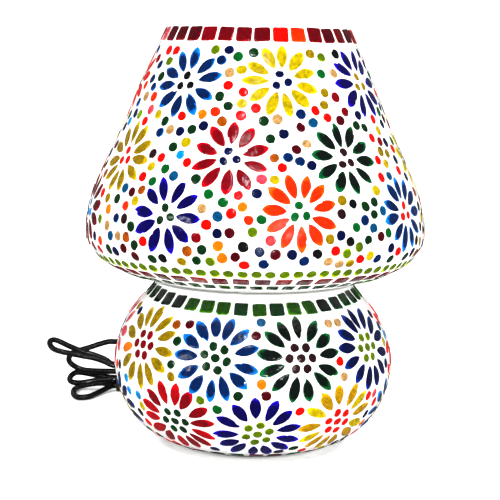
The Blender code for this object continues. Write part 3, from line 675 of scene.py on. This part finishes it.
for b, s, c, mid, petals, odd in BASE_FLOWERS:
    flower(BASE, b, s, c, mid, petals, 18.4, (15.2, 6.5), 7, None, odd)

# square and round borders
def border(surf, s, count, kind, length, width, colours, first=0.0, jitter=0.3, weights=None, named=None, skew=0.05):
    """A ring of pieces, the first at the bearing given in degrees; named colours go on from there both ways."""
    for k in range(count):
        deg = first + 360.0 * k / count
        deg = (deg + 180.0) % 360.0 - 180.0
        i = k if k <= count // 2 else k - count
        if named and i in named:
            c = named[i]
        else:
            c = rng.choices(colours, weights)[0]
        b = math.radians(deg)
        ss = s(b) if callable(s) else s
        # the last value paints the lower edge of each piece brighter, a painted reflection of the table below: strongly
        # on rounds, a little on squares
        tile(surf, b + rng.uniform(-1, 1) * jitter / 80, ss + rng.uniform(-1, 1) * jitter * 0.6, kind,
             length * rng.uniform(0.94, 1.03), width * rng.uniform(0.95, 1.04), rng.uniform(-skew, skew), c,
             -0.5 if kind == "square" else -4.2)


def at_height(surf, z):
    """Distance down the surface where it first gets below a height."""
    k = int(np.argmax(surf.c[:, 1] < z))
    return float(surf.L[k])


def shoulder(b):
    """The green ring on the base was laid by eye and dips towards the front."""
    return max(4.9, 8.7 - 6.0 * (1 - math.cos(b)))


border(SHADE, 5.0, 34, "square", 9.3, 9.2, ["rim", "red", "maroon"], 2.0, 0.25, [14, 2, 5],
       {0: "rim", 1: "red", 2: "redorange", 3: "rim", 4: "maroon", 5: "rim", 6: "maroon", -1: "rim", -2: "rim",
        -3: "dkred", -4: "maroon", -5: "maroon", -6: "maroon", -7: "pink"})
border(SHADE, at_height(SHADE, 117.6), 78, "dot", 6.3, 6.0, ["olive"], 0.5, 0.25, skew=0.3)
border(SHADE, at_height(SHADE, 112.3), 47, "square", 9.3, 8.3, ["rim", "maroon", "dkred"], 2.7, 0.25, [5, 3, 1])
border(SHADE, at_height(SHADE, 107.9), 56, "square", 7.0, 6.8, ["dkgreen", "bottle"], 1.0, 0.5, [3, 2], skew=0.12)
border(BASE, shoulder, 40, "square", 8.5, 9.2, ["bottle", "dkgreen", "inkgreen"], 2.6, 0.3, [3, 2, 3],
       {0: "bottle", -1: "dkgreen", -2: "bottle", -3: "bottle", -4: "bottle", -5: "inkgreen", -6: "inkgreen",
        -7: "inkgreen", 1: "dkgreen", 2: "bottle", 3: "bottle", 4: "inkgreen", 5: "inkgreen", 6: "dkgreen"}, 0.09)
border(BASE, 114.8, 30, "square", 8.4, 7.6, ["maroon", "inkgreen"], 3.0, 0.3, [1, 1])

# how far two tiles reach, to keep them apart
def clearance(surf, b, s, size, grid):
    """Smallest gap to the tiles already there, in mm (negative when they overlap), with the way out."""
    p = surf.pos(np.array([b]), np.array([s]))[0]
    worst, push = 9.0, None
    for q, rad, pts in grid:
        d = p - q
        dd = math.sqrt(d @ d)
        if dd > rad + size + 3:
            continue
        v = p - pts
        k = np.argmin((v * v).sum(1))
        g = math.sqrt((v[k] * v[k]).sum()) - size
        if dd < rad * 0.4:
            g = min(g, -1.0)
        if g < worst:
            worst, push = g, p - pts[k]
    return worst, push


def outline(kind, l, w, n, r):
    """Outline of a piece in its own plane, first point at its outer end."""
    h = [(r.uniform(-1, 1), r.uniform(0, math.tau)) for _ in range(5)]
    fat = r.uniform(0.66, 0.84)
    out = []
    for i in range(n):
        if kind == "leaf":
            t = i / n
            side = 1 if t < 0.5 else -1
            x = (1 - 4 * t) if t < 0.5 else (4 * t - 3)
            x = math.copysign(abs(x) ** 0.84, x)
            belly = (1 - x * x) ** fat * (1 + 0.14 * x)
            px, py = x * l / 2, side * belly * w / 2
        elif kind == "dot":
            a = math.tau * i / n
            px, py = math.cos(a) * l / 2, math.sin(a) * w / 2
        else:
            a = math.tau * (i + 0.5) / n
            c, s = math.cos(a), math.sin(a)
            e = 11.0
            k = (abs(c) ** e + abs(s) ** e) ** (-1 / e)
            px, py = c * k * l / 2, s * k * w / 2
        ang = math.atan2(py, px)
        wob = sum(a * math.sin((j + 2) * ang + p) / (j + 2) for j, (a, p) in enumerate(h))
        f = 1 + {"leaf": 0.05, "dot": 0.075, "square": 0.03}[kind] * wob + r.uniform(-0.018, 0.018)
        out.append((px * f, py * f))
    out = np.array(out)
    if kind != "square" and r.random() < 0.4:  # nibbled by the pliers
        k = r.randrange(n)
        out[k] *= r.uniform(0.78, 0.9)
        out[(k + 1) % n] *= r.uniform(0.90, 0.98)
    if kind == "square":  # hand cut: slightly skewed, now and then with a nipped corner
        sk = r.uniform(-0.05, 0.05)
        tp = r.uniform(-0.04, 0.04)
        out = np.stack([out[:, 0] * (1 + tp * out[:, 1] / w) + sk * out[:, 1], out[:, 1]], -1)
        if r.random() < 0.3:
            cx, cy = r.choice([-1, 1]) * l / 2, r.choice([-1, 1]) * w / 2
            dist = np.hypot(out[:, 0] - cx, out[:, 1] - cy)
            k = np.clip(1 - dist / r.uniform(1.2, 2.4), 0, 1) * 0.35
            out = out * (1 - k[:, None] * 0.6)
    return out


SIDES = {"leaf": 24, "dot": 18, "square": 32}


def outline3(t, pts2, w=0.0, bend=1.0):
    """Lay points of a tile's own plane on its surface."""
    ca, sa = math.cos(t["turn"]), math.sin(t["turn"])
    u = pts2[:, 0] * ca - pts2[:, 1] * sa
    v = pts2[:, 0] * sa + pts2[:, 1] * ca
    s = t["s"] - v
    r = t["surf"].rz(t["s"] - v / 2)[0]
    return t["surf"].pos(t["b"] + u / r, s, w)


def finish_tile(t):
    r = random.Random(int(t["r"] * 1e9))
    t["o2"] = outline(t["kind"], t["l"], t["w"], SIDES[t["kind"]], r)
    t["o3"] = outline3(t, t["o2"])
    t["p"] = t["surf"].pos(np.array([t["b"]]), np.array([t["s"]]))[0]
    t["reach"] = float(np.max(np.linalg.norm(t["o3"] - t["p"], axis=1)))


for t in tiles:
    finish_tile(t)


DOT_COLOURS = ["navy", "red", "dkgreen", "blue", "yellow", "green", "tan", "gold", "olive", "copper", "dkbrown", "black",
               "redorange", "dkred", "sky", "steel", "orange", "maroon", "lime", "pink"]
DOT_WEIGHTS = [15, 17, 13, 9, 8, 8, 6, 6, 6, 5, 5, 4, 4, 4, 4, 3, 2, 3, 1, 1]


def fill_dots(surf, s0, s1, size, gap, tries=26000):
    """Fill what is left of a band with round pieces at an even spacing."""
    mine = [t for t in tiles if t["surf"] is surf]
    grid = [(t["p"], t["reach"], t["o3"]) for t in mine]
    P = np.array([g[0] for g in grid])
    R = np.array([g[1] for g in grid])
    r = random.Random(5)
    for k in range(tries):
        s = r.uniform(s0, s1)
        b = r.uniform(0, math.tau)
        rr = float(surf.rz(s)[0])
        if r.random() > rr / 104:
            continue
        best = None
        p = surf.pos(np.array([b]), np.array([s]))[0]
        near = np.nonzero(np.linalg.norm(P - p, axis=1) < R + size + 1.0)[0]
        g, _ = clearance(surf, b, s, size / 2, [grid[i] for i in near])
        if g < gap or (k < tries * 0.75 and g > gap + 0.9):
            continue
        # settle against the nearest neighbour for an even spacing
        sz = size * r.uniform(0.93, 1.05)
        # the last value paints the lower edge of the round a little brighter, a painted reflection of the table below
        tile(surf, b, s, "dot", sz, sz * r.uniform(0.92, 1.0), r.uniform(0, math.pi), r.choices(DOT_COLOURS, DOT_WEIGHTS)[0], -0.6)
        finish_tile(tiles[-1])
        t = tiles[-1]
        grid.append((t["p"], t["reach"], t["o3"]))
        P = np.vstack([P, t["p"]])
        R = np.append(R, t["reach"])


def crosses(a, b):
    """Whether two neighbouring pieces would lie over one another."""
    e1 = a["o3"][0] - a["p"]
    e1 = e1 / np.linalg.norm(e1)
    n = np.cross(e1, a["o3"][len(a["o3"]) // 4] - a["p"])
    plane = np.stack([e1, np.cross(n / np.linalg.norm(n), e1)], 1)
    A, B = (a["o3"] - a["p"]) @ plane, (b["o3"] - a["p"]) @ plane

    def inside(Q, P):
        x1, y1 = P.T
        x2, y2 = np.roll(P, -1, 0).T
        y = Q[:, 1, None]
        over = (y1[None] > y) != (y2[None] > y)
        at = (x2 - x1) * (y - y1) / (y2 - y1 + 1e-9) + x1
        return ((over & (Q[:, 0, None] < at)).sum(1) % 2 == 1).any()
    return inside(B, A) or inside(A, B)


def part_crossed():
    """Away from the front, drop the later of two pieces that would overlap."""
    kept = []
    for t in sorted(tiles, key=lambda t: (abs(math.atan2(t["p"][0], -t["p"][1])) > 1.35)):
        if abs(math.atan2(t["p"][0], -t["p"][1])) > 1.35 and t["kind"] != "square":
            near = [k for k in kept if k["surf"] is t["surf"] and np.linalg.norm(k["p"] - t["p"]) < k["reach"] + t["reach"]]
            if any(crosses(k, t) for k in near):
                continue
        kept.append(t)
    tiles[:] = [t for t in tiles if any(t is k for k in kept)]


part_crossed()
fill_dots(SHADE, 14.5, 141.0, 6.2, 0.85)
fill_dots(BASE, 17.0, 108.0, 6.1, 0.85)

# ------------------------------------------------------------------------------------------------
# glass pieces and the grout round them
# ------------------------------------------------------------------------------------------------
GROUT_W = -0.10


def build_tiles(name, body, chosen):
    verts, faces, deep, rim, edge, tip, rn, foil, gloss = [], [], [], [], [], [], [], [], []
    # scale of the outline, height, how near the edge
    rings = [(0.97, -1.25, 1.0), (1.0, -0.30, 1.0), (0.99, 0.16, 0.98), (0.95, 0.30, 0.90), (0.80, 0.40, 0.62),
             (0.45, 0.47, 0.25)]
    for t in chosen:
        r = random.Random(int(t["r"] * 1e9) + 1)
        R, U, N = t["surf"].axes(t["b"], t["s"])
        o = t["o2"]
        ca, sa = math.cos(t["turn"]), math.sin(t["turn"])
        tilt = (r.uniform(-0.042, 0.042), r.uniform(-0.042, 0.042))
        base = len(verts)
        n = len(o)
        flat = 0.62
        sagv = (t["l"] / 2) ** 2 / (2 * float(t["surf"].rz(t["s"])[0])) * 0.5
        dc, rc = GLASS[t["c"]]
        lift = r.uniform(-0.06, 0.05)
        for sc, w, e in rings + [(0.0, 0.49, 0.0)]:
            q = o * sc if sc else np.zeros((1, 2))
            cur = outline3(t, q, 0.0)
            u = q[:, 0] * ca - q[:, 1] * sa
            v = q[:, 0] * sa + q[:, 1] * ca
            plane = t["p"] + u[:, None] * R + v[:, None] * U - N * sagv
            pt = cur * (1 - flat) + plane * flat
            ww = w + lift + u * tilt[0] + v * tilt[1]
            pt = pt + N * np.reshape(ww, (-1, 1))
            verts.extend(pt.tolist())
            L = max(t["l"] / 2, 1e-6)
            for a in q:
                deep.append(dc)
                rim.append(rc)
                # edge and tip carry painted light: near the edge and the outer tip of a petal the glass turns towards
                # its rim colour, and a negative tip paints the lower edge of rounds and squares brighter, a painted
                # reflection of the table below
                edge.append(e)
                tip.append(max(0.0, a[0] / L) * t["tip"] if t["tip"] > 0 else a[1] / L * 0.45 * t["tip"])
                rn.append(t["r"])
                foil.append(FOIL.get(t["c"], 0.08))
                gloss.append(0.22 if t["kind"] == "square" and not (t["surf"] is SHADE and t["s"] < 50) else 1.0)
        faces.append([base + i for i in range(n)][::-1])
        for k in range(len(rings) - 1):
            A, B = base + k * n, base + (k + 1) * n
            for i in range(n):
                j = (i + 1) % n
                faces.append([A + i, A + j, B + j, B + i])
        A, c = base + (len(rings) - 1) * n, base + len(rings) * n
        for i in range(n):
            faces.append([A + i, A + (i + 1) % n, c])
    ob = make(name, verts, faces, "tile", body, True, 50)
    me = ob.data
    for nm, data, kind in (("deep", deep, "FLOAT_COLOR"), ("rim", rim, "FLOAT_COLOR")):
        at = me.attributes.new(nm, kind, "POINT")
        at.data.foreach_set("color", np.concatenate([np.array(data, np.float32), np.ones((len(data), 1), np.float32)], 1).ravel())
    for nm, data in (("edge", edge), ("tip", tip), ("rnd", rn), ("foil", foil), ("gloss", gloss)):
        at = me.attributes.new(nm, "FLOAT", "POINT")
        at.data.foreach_set("value", np.array(data, np.float32))
    return ob


def grout(name, surf, body, chosen, inner, cols=420, step=1.1):
    """The white filler: a turned skin with slow hand-made waves, plus a soft lip round each piece of glass."""
    ns = int(surf.len / step) + 1
    ss = np.linspace(0, surf.len, ns)
    bb = np.linspace(0, math.tau, cols, endpoint=False)
    B, S = np.meshgrid(bb, ss)
    wave = (0.10 * np.sin(3 * B + S / 17) * np.sin(S / 23 + 1.3) + 0.05 * np.sin(11 * B - S / 9) * np.cos(S / 7.0)
            + 0.03 * np.sin(23 * B + S / 5.0))
    edge = np.clip(np.minimum(S, surf.len - S) / 2.5, 0, 1)
    soft = np.clip((S if surf is SHADE else surf.len - S) / 2.5, 0, 1)
    W = GROUT_W + wave * edge * 0.55 - (1 - soft) ** 2 * 0.7
    outer = surf.pos(B, S, W).reshape(-1, 3)
    ins = np.array(inner, float)
    verts = [outer]
    faces = []
    for i in range(ns - 1):
        for k in range(cols):
            q = (k + 1) % cols
            faces.append([i * cols + k, (i + 1) * cols + k, (i + 1) * cols + q, i * cols + q])
    last = (ns - 1) * cols
    base = ns * cols
    for (r, z) in ins:
        verts.append(np.stack([r * np.sin(bb), -r * np.cos(bb), z + 0 * bb], -1))
    rows = [last] + [base + i * cols for i in range(len(ins))] + [0]
    for a, b in zip(rows[:-1], rows[1:]):
        for k in range(cols):
            q = (k + 1) % cols
            faces.append([a + k, b + k, b + q, a + q])
    V = np.concatenate(verts)
    n0 = len(V)
    lv, lf = [], []
    for t in chosen:
        o = t["o2"]
        n = len(o)
        nrm = np.linalg.norm(o, axis=1)[:, None]
        d = o / nrm
        r = random.Random(int(t["r"] * 1e9) + 2)
        gap = 1 + np.array([[r.uniform(-0.3, 0.3)] for _ in range(n)])
        b0 = n0 + len(lv)
        for q, w in ((o * 0.98, -0.9), (o * 0.99, 0.04), (o + d * 0.10, 0.09), (o + d * 0.45 * gap, 0.03),
                     (o + d * 1.0 * gap, -0.22), (o + d * 1.0 * gap, -0.9)):
            lv.extend(outline3(t, q, w).tolist())
        for k in range(6):
            A, Bq = b0 + k * n, b0 + ((k + 1) % 6) * n
            for i in range(n):
                j = (i + 1) % n
                lf.append([A + j, A + i, Bq + i, Bq + j])
    V = np.concatenate([V, np.array(lv)]) if lv else V
    return make(name, V, faces + lf, "grout", body, True, 60)


def pick(surf, kind, lo=-1e9, hi=1e9):
    return [t for t in tiles if t["surf"] is surf and t["kind"] == kind and lo <= t["s"] < hi]


def inset(surf, d, s0, s1, n):
    return [tuple(x) for x in zip(*surf_offset(surf, d, np.linspace(s0, s1, n)))]


def surf_offset(surf, d, s):
    r, z = surf.rz(s)
    r0, z0 = surf.rz(s - 0.4)
    r1, z1 = surf.rz(s + 0.4)
    n = np.hypot(r1 - r0, z1 - z0)
    return r + d * (z1 - z0) / n, z - d * (r1 - r0) / n


# bare grout round the bush where the flex comes out
OUT = np.array([math.cos(math.radians(120)), math.sin(math.radians(120)), 0.0])
bush = OUT * (80.0 - 2.45 * math.cos(math.radians(28))) + np.array([0, 0, 30 + 2.45 * math.sin(math.radians(28))])
tiles[:] = [t for t in tiles if t["surf"] is SHADE or np.min(np.linalg.norm(t["o3"] - bush, axis=1)) > 7.6]
shade_tiles = [t for t in tiles if t["surf"] is SHADE]
base_tiles = [t for t in tiles if t["surf"] is BASE]
sh_in = inset(SHADE, 1.8, SHADE.len - 0.2, 9.0, 24)
g = grout("shade_grout", SHADE, "shade", shade_tiles,
          sh_in + [(54.1, RIM_Z - 2.2), (50.9, RIM_Z - 2.0), (50.7, RIM_Z - 0.9), (51.6, RIM_Z - 0.1), (53.6, RIM_Z - 0.0)])
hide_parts("shade_mosaic_skin")
ba_in = inset(BASE, 1.8, BASE.len - 0.2, 5.4, 18)
g = grout("base_grout", BASE, "root", base_tiles,
          ba_in + [(58.4, WAIST_Z - 1.8), (57.6, WAIST_Z - 1.6), (57.4, WAIST_Z - 0.8), (58.0, WAIST_Z - 0.1), (59.4, WAIST_Z),
                   (59.6, WAIST_Z + 0.2), (59.65, WAIST_Z + 1.0), (60.0, WAIST_Z + 1.35), (60.5, WAIST_Z + 1.1)], 360)
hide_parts("base_mosaic_skin")
build_tiles("shade_leaf_glass", "shade", pick(SHADE, "leaf"))
build_tiles("shade_round_glass", "shade", pick(SHADE, "dot", 0, 144))
build_tiles("shade_border_rounds", "shade", pick(SHADE, "dot", 144))
build_tiles("shade_rim_squares", "shade", pick(SHADE, "square", 0, 50))
build_tiles("shade_skirt_squares", "shade", pick(SHADE, "square", 50))
build_tiles("base_leaf_glass", "root", pick(BASE, "leaf"))
build_tiles("base_round_glass", "root", pick(BASE, "dot"))
build_tiles("base_shoulder_squares", "root", pick(BASE, "square", 0, 50))
build_tiles("base_foot_squares", "root", pick(BASE, "square", 50))
print("tiles", len(tiles), "shade", len(shade_tiles), "base", len(base_tiles))
# ------------------------------------------------------------------------------------------------
# pieces under the mosaic, and what shows through the top: finer than the CAD facets
# ------------------------------------------------------------------------------------------------
GAP, SKIN_T, GLASS_T, PAD_T, PUNT_Z, TUBE_R = 0.3, 1.8, 2.8, 1.8, 11.0, 5.0
NECK_R, BULB_Z0, BULB_R, CORD_R = 52.6, 78.0, 27.5, 2.0


def sampled(surf, d, s0, s1, n):
    return [(float(r), float(z)) for r, z in (surf_offset(surf, d, x) for x in np.linspace(s0, s1, n))]


def swap(name, profile, mat, node, body, steps=96, rnd=0.3):
    V, F = lathe(round_profile(profile, rnd, not (abs(profile[0][0]) < 1e-6 and abs(profile[-1][0]) < 1e-6)), steps)
    ob = make(name, V, F, mat, body)
    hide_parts(node)
    return ob


out = [(53.9, RIM_Z - 2.5)] + sampled(SHADE, SKIN_T + GAP, 5.0, SHADE.len - 3.0, 40) + [
    (NECK_R + 4.4, 102.4), (NECK_R + 1.4, 101.7), (NECK_R, 100.3), (NECK_R - 0.2, 90.5)]
inn = [(NECK_R - 2.4, 90.5), (NECK_R - 2.3, 102.0), (NECK_R + 1.2, 105.0)] + sampled(
    SHADE, SKIN_T + GAP + GLASS_T, SHADE.len - 8.0, 5.0, 40) + [(51.2, RIM_Z - 2.5)]
swap("shade_blown_glass", out + inn, "clear_glass", "shade_glass", "shade", 128, 0.5)
out = [(57.5, WAIST_Z - 2.1)] + sampled(BASE, SKIN_T + GAP, 3.0, BASE.len - 3.0, 30) + [
    (42.2, 2.1), (31.5, 2.1), (27.0, PUNT_Z - 2.2), (23.0, PUNT_Z), (TUBE_R + 0.5, PUNT_Z)]
inn = [(TUBE_R + 0.5, PUNT_Z + GLASS_T), (24.5, PUNT_Z + GLASS_T), (29.4, PUNT_Z), (33.4, 2.1 + GLASS_T),
       (40.2, 2.1 + GLASS_T)] + sampled(BASE, SKIN_T + GAP + GLASS_T, BASE.len - 6.0, 3.0, 30) + [(55.0, WAIST_Z - 2.1)]
swap("base_blown_glass", out + inn, "clear_glass", "base_glass", "root", 112, 0.4)
swap("seat_gasket", [(54.6, 99.7), (54.6, 94.0), (53.4, 94.0), (53.4, 99.0), (54.0, 99.9), (54.6, 101.0), (59.3, 101.2),
                     (59.3, 99.7)], "clear_rubber", "shade_seat_gasket", "root", 128, 0.3)
swap("holder_skirt", [(15.2, 103.0), (17.6, 103.0), (18.6, 102.2), (19.6, 86.0), (19.6, 71.9), (17.2, 71.9), (17.2, 76.0),
                      (16.9, 76.0), (16.9, 84.0), (15.2, 88.0)], "black_plastic", "holder_sleeve", "root", 72, 0.35)
gz = BULB_Z0 + 70.0
globe = [(BULB_R * math.sin(math.radians(a)), gz + BULB_R * math.cos(math.radians(a))) for a in range(0, 112, 9)]
low = catmull([globe[-1], (22.6, gz - 16.8), (17.8, gz - 27.0), (14.6, gz - 36.0), (13.4, gz - 42.0)], 6)[1:]
globe = globe + [tuple(v) for v in low] + [(12.0, gz - 43.6), (12.0, gz - 52.0)]
inner = [(max(r - 0.9, 0.0), z - (0.9 if z > gz + 8 else 0.0)) for r, z in globe]
swap("bulb_opal_globe", globe + inner[::-1], "opal_glass", "bulb_globe", "bulb", 72, 0.0)

# the flex: the same run as the CAD node, drawn round and smooth
SWITCH_X, SWITCH_Y, SWITCH_Z, SWITCH_L = 18.0, 124.0, 9.6, 60.0
TIE_X, TIE_Y, ROW_H, ROW_0 = -93.0, 134.0, 4.9, 4.1
PLUG_X, PLUG_Y, PLUG_Z = 18.0, 178.0, 7.6


def hank():
    """Bights through the tie; positions are out to the left of the tie, back from it, and up."""
    low, mid, top, slot = ROW_0, ROW_0 + ROW_H, ROW_0 + 3 * ROW_H, 2.4
    turn, floor = ROW_0 + 2 * ROW_H, CORD_R + 0.2

    def right_bight(r, q):
        return [(-16.0, 5.0, r * 0.9 + q * 0.1 + 0.3), (-28.0, 8.6, r * 0.7 + q * 0.3), (-39.0, 7.2, r * 0.25 + q * 0.75),
                (-44.0, 0.0, q), (-39.0, -7.2, q), (-28.0, -8.6, q), (-16.0, -5.0, q)]

    def through(h, side, way):
        return [(-6.0 * way, slot * side, h), (0.0, slot * side, h), (5.0 * way, slot * side * 1.1, h)]
    path = [(4.2, 24.0, 30.7), (10.0, 23.0, 30.8), (17.0, 21.0, 29.2), (24.0, 19.0, 27.0), (31.0, 16.0, 25.3),
            (35.4, 13.0, 24.0), (37.2, 8.0, 21.0), (35.7, 4.0, 18.7), (31.8, 2.0, 16.4), (26.0, 1.0, 14.4)]
    path += [(6.0, 0.0, turn), (0.0, 0.0, turn), (-6.0, 0.0, turn), (-20.0, 0.5, turn), (-36.0, 0.5, turn),
             (-48.0, 0.0, turn), (-54.0, -5.0, 11.2), (-53.0, -11.5, 7.6), (-43.0, -14.5, 4.8), (-28.0, -12.6, low),
             (-16.0, -7.0, low)]
    path += through(low, -1, 1)
    path += [(11.5, -13.0, 2.7), (15.5, -22.0, floor), (19.5, -30.5, floor), (25.0, -33.0, floor), (29.0, -27.0, floor),
             (31.2, -14.0, floor), (30.6, -4.0, floor), (27.0, 3.5, floor + 0.2), (21.0, 7.0, 3.0), (13.5, 6.4, 3.9)]
    path += through(low, 1, -1)
    path += right_bight(low, mid)
    path += through(mid, -1, 1)
    path += [(17.0, -6.0, 8.3), (27.0, -7.0, 6.7), (33.0, -5.0, 6.7), (35.6, 0.0, 7.6), (35.0, 4.4, 9.4),
             (32.0, 6.8, 11.2), (28.0, 7.0, 11.2), (18.0, 6.0, 9.8)]
    path += through(mid, 1, -1)
    path += right_bight(mid, top)
    path += through(top, -1, 1)
    path += [(11.0, -3.5, 21.6), (18.0, -5.0, 24.2), (25.0, -6.0, 25.6), (34.0, -6.0, 27.3), (41.0, -6.0, 28.6),
             (46.6, -5.0, 30.4), (49.2, -2.6, 32.8), (49.6, 0.4, 34.6), (47.6, 3.2, 35.2), (43.5, 4.6, 33.8),
             (38.0, 4.6, 31.2), (32.4, 4.4, 28.9), (26.6, 4.0, 26.8), (18.9, 3.4, 24.8), (11.0, 2.9, 21.9)]
    path += through(top, 1, -1)
    return [(TIE_X - e, TIE_Y + w, h) for e, w, h in path]


RIGHT_END, LEFT_END = SWITCH_X + SWITCH_L / 2, SWITCH_X - SWITCH_L / 2
lead_in = [(RIGHT_END - 7.0, SWITCH_Y, SWITCH_Z), (RIGHT_END + 4.0, SWITCH_Y, SWITCH_Z), (64.0, 126.6, 8.0),
           (73.0, 133.0, 5.6), (75.0, 142.0, 3.6), (68.0, 149.6, 2.8), (52.0, 152.6, 2.8), (22.0, 153.4, 3.2),
           (4.0, 153.6, 6.5), (-14.0, 154.0, 14.5), (-32.0, 154.6, 24.5), (-52.0, 155.4, 31.0), (-72.0, 156.6, 33.0),
           (-85.0, 157.4, 32.2)]
lead_out = [(-75.0, 139.0, 19.8), (-63.0, 146.0, 20.4), (-48.0, 157.0, 18.0), (-32.0, 168.0, 13.4), (-16.0, 175.0, 9.2),
            (0.0, PLUG_Y, PLUG_Z), (PLUG_X + 4.0, PLUG_Y, PLUG_Z)]


def flex(name, points, node):
    per = lambda d: max(2, int(round(d / 1.6)))
    V, F = tube_mesh(catmull(points, per), CORD_R, 20, lambda i, a: 0.012 * math.cos(2 * a + i * 0.05))
    ob = make(name, V, F, "black_pvc", "root")
    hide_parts(node)


flex("plug_side_cord", lead_in + hank() + lead_out, "flex_plug_side")
ua = math.radians(120.0)
u = np.array([math.cos(ua), math.sin(ua), 0.0])
ct, st = math.cos(math.radians(28.0)), math.sin(math.radians(28.0))
axis = np.array([u[0] * ct, u[1] * ct, -st])
mid_hole = u * (80.0 - 2.45 * ct) + np.array([0, 0, 30.0 + 2.45 * st])
up = np.array([0.0, 0.0, 1.0])
lamp = [u * 12.5 + up * 63.0, u * 18.0 + up * 63.0, u * 27.0 + up * 62.4, u * 39.0 + up * 57.0, u * 51.0 + up * 47.5,
        u * 62.0 + up * 39.6, mid_hole - axis * 9.0, mid_hole, mid_hole + axis * 9.0,
        mid_hole + axis * 15.5 + np.array([1.0, 0.5, 0.2]), (-47.6, 104.0, 14.0), (-42.0, 115.5, 10.6),
        (-30.0, 122.4, SWITCH_Z), (LEFT_END - 4.0, SWITCH_Y, SWITCH_Z), (LEFT_END + 7.0, SWITCH_Y, SWITCH_Z)]
flex("lamp_side_cord", lamp, "flex_lamp_side")

# ------------------------------------------------------------------------------------------------
# carried-over CAD nodes: their own materials
# ------------------------------------------------------------------------------------------------
slots = {s["node"]: s["material_slot"] for s in frame["record"]["subparts"]}
for name, ob in NODES.items():
    if ob.hide_render:
        continue
    ob.data.materials.clear()
    ob.data.materials.append(M[slots[name]])
    if name in ("switch_case_lower", "switch_case_upper", "plug_body", "flex_tie", "switch_rocker", "foot_pad"):
        w = ob.modifiers.new("weld", "WELD")
        w.merge_threshold = 0.00002
        bv = ob.modifiers.new("soft_edges", "BEVEL")
        bv.width = 0.00035
        bv.segments = 2
        bv.limit_method = "ANGLE"
        bv.angle_limit = math.radians(35)
        bv.harden_normals = False

# ------------------------------------------------------------------------------------------------
# stage, light, camera
# ------------------------------------------------------------------------------------------------


def stage():
    m = Mat("pale_floor")
    vec = m.coord()
    n = m.noise(vec, 6.0, 3.0)
    m.set(Base_Color=m.mix(n, srgb("#f6f6f5"), srgb("#fbfbfa")), Roughness=0.6, Specular_IOR_Level=0.2,
          Emission_Color=srgb("#ffffff"), Emission_Strength=0.22)
    # floor running back into a curved backdrop
    prof = [(-4.0, 0.0), (2.2, 0.0)] + [(2.2 + 1.2 * math.sin(a), 1.2 - 1.2 * math.cos(a))
                                       for a in np.linspace(0.1, math.pi / 2, 14)] + [(3.4, 5.0)]
    verts, faces = [], []
    for y, z in prof:
        verts += [(-6.0, y, z), (6.0, y, z)]
    for i in range(len(prof) - 1):
        faces.append([2 * i, 2 * i + 1, 2 * i + 3, 2 * i + 2])
    me = bpy.data.meshes.new("floor")
    me.from_pydata(verts, [], faces)
    me.shade_smooth()
    me.materials.append(m.m)
    ob = bpy.data.objects.new("floor", me)
    bpy.context.scene.collection.objects.link(ob)
    ob.visible_glossy = False  # a white table would grey the lower glass


stage()


def area(name, loc, target, size, power, soft=True):
    """Soft lights shape the object; the small ones are only seen as sparkle in glossy faces."""
    L = bpy.data.lights.new(name, "AREA")
    L.shape = "RECTANGLE"
    L.size, L.size_y = size
    L.energy = power
    ob = bpy.data.objects.new(name, L)
    bpy.context.scene.collection.objects.link(ob)
    ob.location = loc
    ob.rotation_euler = (Vector(target) - Vector(loc)).to_track_quat("-Z", "Y").to_euler()
    ob.visible_glossy = not soft
    ob.visible_diffuse = soft
    ob.visible_transmission = soft
    return ob


area("key", (-0.9, -1.7, 1.5), (0, 0, 0.12), (1.0, 1.0), 46)
area("fill", (1.2, -1.5, 0.9), (0, 0, 0.12), (1.0, 1.2), 30)
area("top", (0.0, 0.3, 1.9), (0, 0, 0.1), (1.4, 1.4), 22)
area("sparkle_low", (0.12, -1.6, 0.12), (0, 0, 0.12), (0.04, 0.04), 3.5, False)
area("sparkle_high", (-0.16, -1.2, 1.15), (0, 0, 0.16), (0.06, 0.06), 3.0, False)
area("sparkle_side", (-1.2, -0.9, 0.5), (0, 0, 0.10), (0.05, 0.05), 1.6, False)
area("sparkle_lower", (0.55, -1.3, 0.40), (0, 0, 0.10), (0.04, 0.04), 2.5, False)
world = bpy.data.worlds.new("studio")
bpy.context.scene.world = world
world.use_nodes = True
wt = world.node_tree
bg = wt.nodes["Background"]
bg.inputs["Color"].default_value = (1.0, 1.0, 1.0, 1.0)
path = wt.nodes.new("ShaderNodeLightPath")
level = wt.nodes.new("ShaderNodeMapRange")
wt.links.new(path.outputs["Is Glossy Ray"], level.inputs["Value"])
level.inputs["To Min"].default_value = 1.15
level.inputs["To Max"].default_value = 0.13
wt.links.new(level.outputs["Result"], bg.inputs["Strength"])

sc = bpy.context.scene
sc.view_settings.view_transform = "Standard"
sc.view_settings.look = "None"

D, ZC, PITCH, ROLL = 0.9544, 0.2406, 7.26, 1.02
cam_d = bpy.data.cameras.new("camera")
cam_d.sensor_width = 36.0
cam_d.lens = 1570.1 / 500 * 36.0
cam_d.clip_start = 0.01
cam_d.clip_end = 50.0
cam = bpy.data.objects.new("camera", cam_d)
sc.collection.objects.link(cam)
# looks along +Y, tipped down, rolled a little
look = Matrix.Rotation(math.radians(90 - PITCH), 4, "X") @ Matrix.Rotation(math.radians(ROLL), 4, "Z")
cam.matrix_world = Matrix.Translation((-0.0029, -D, ZC)) @ look
sc.camera = cam
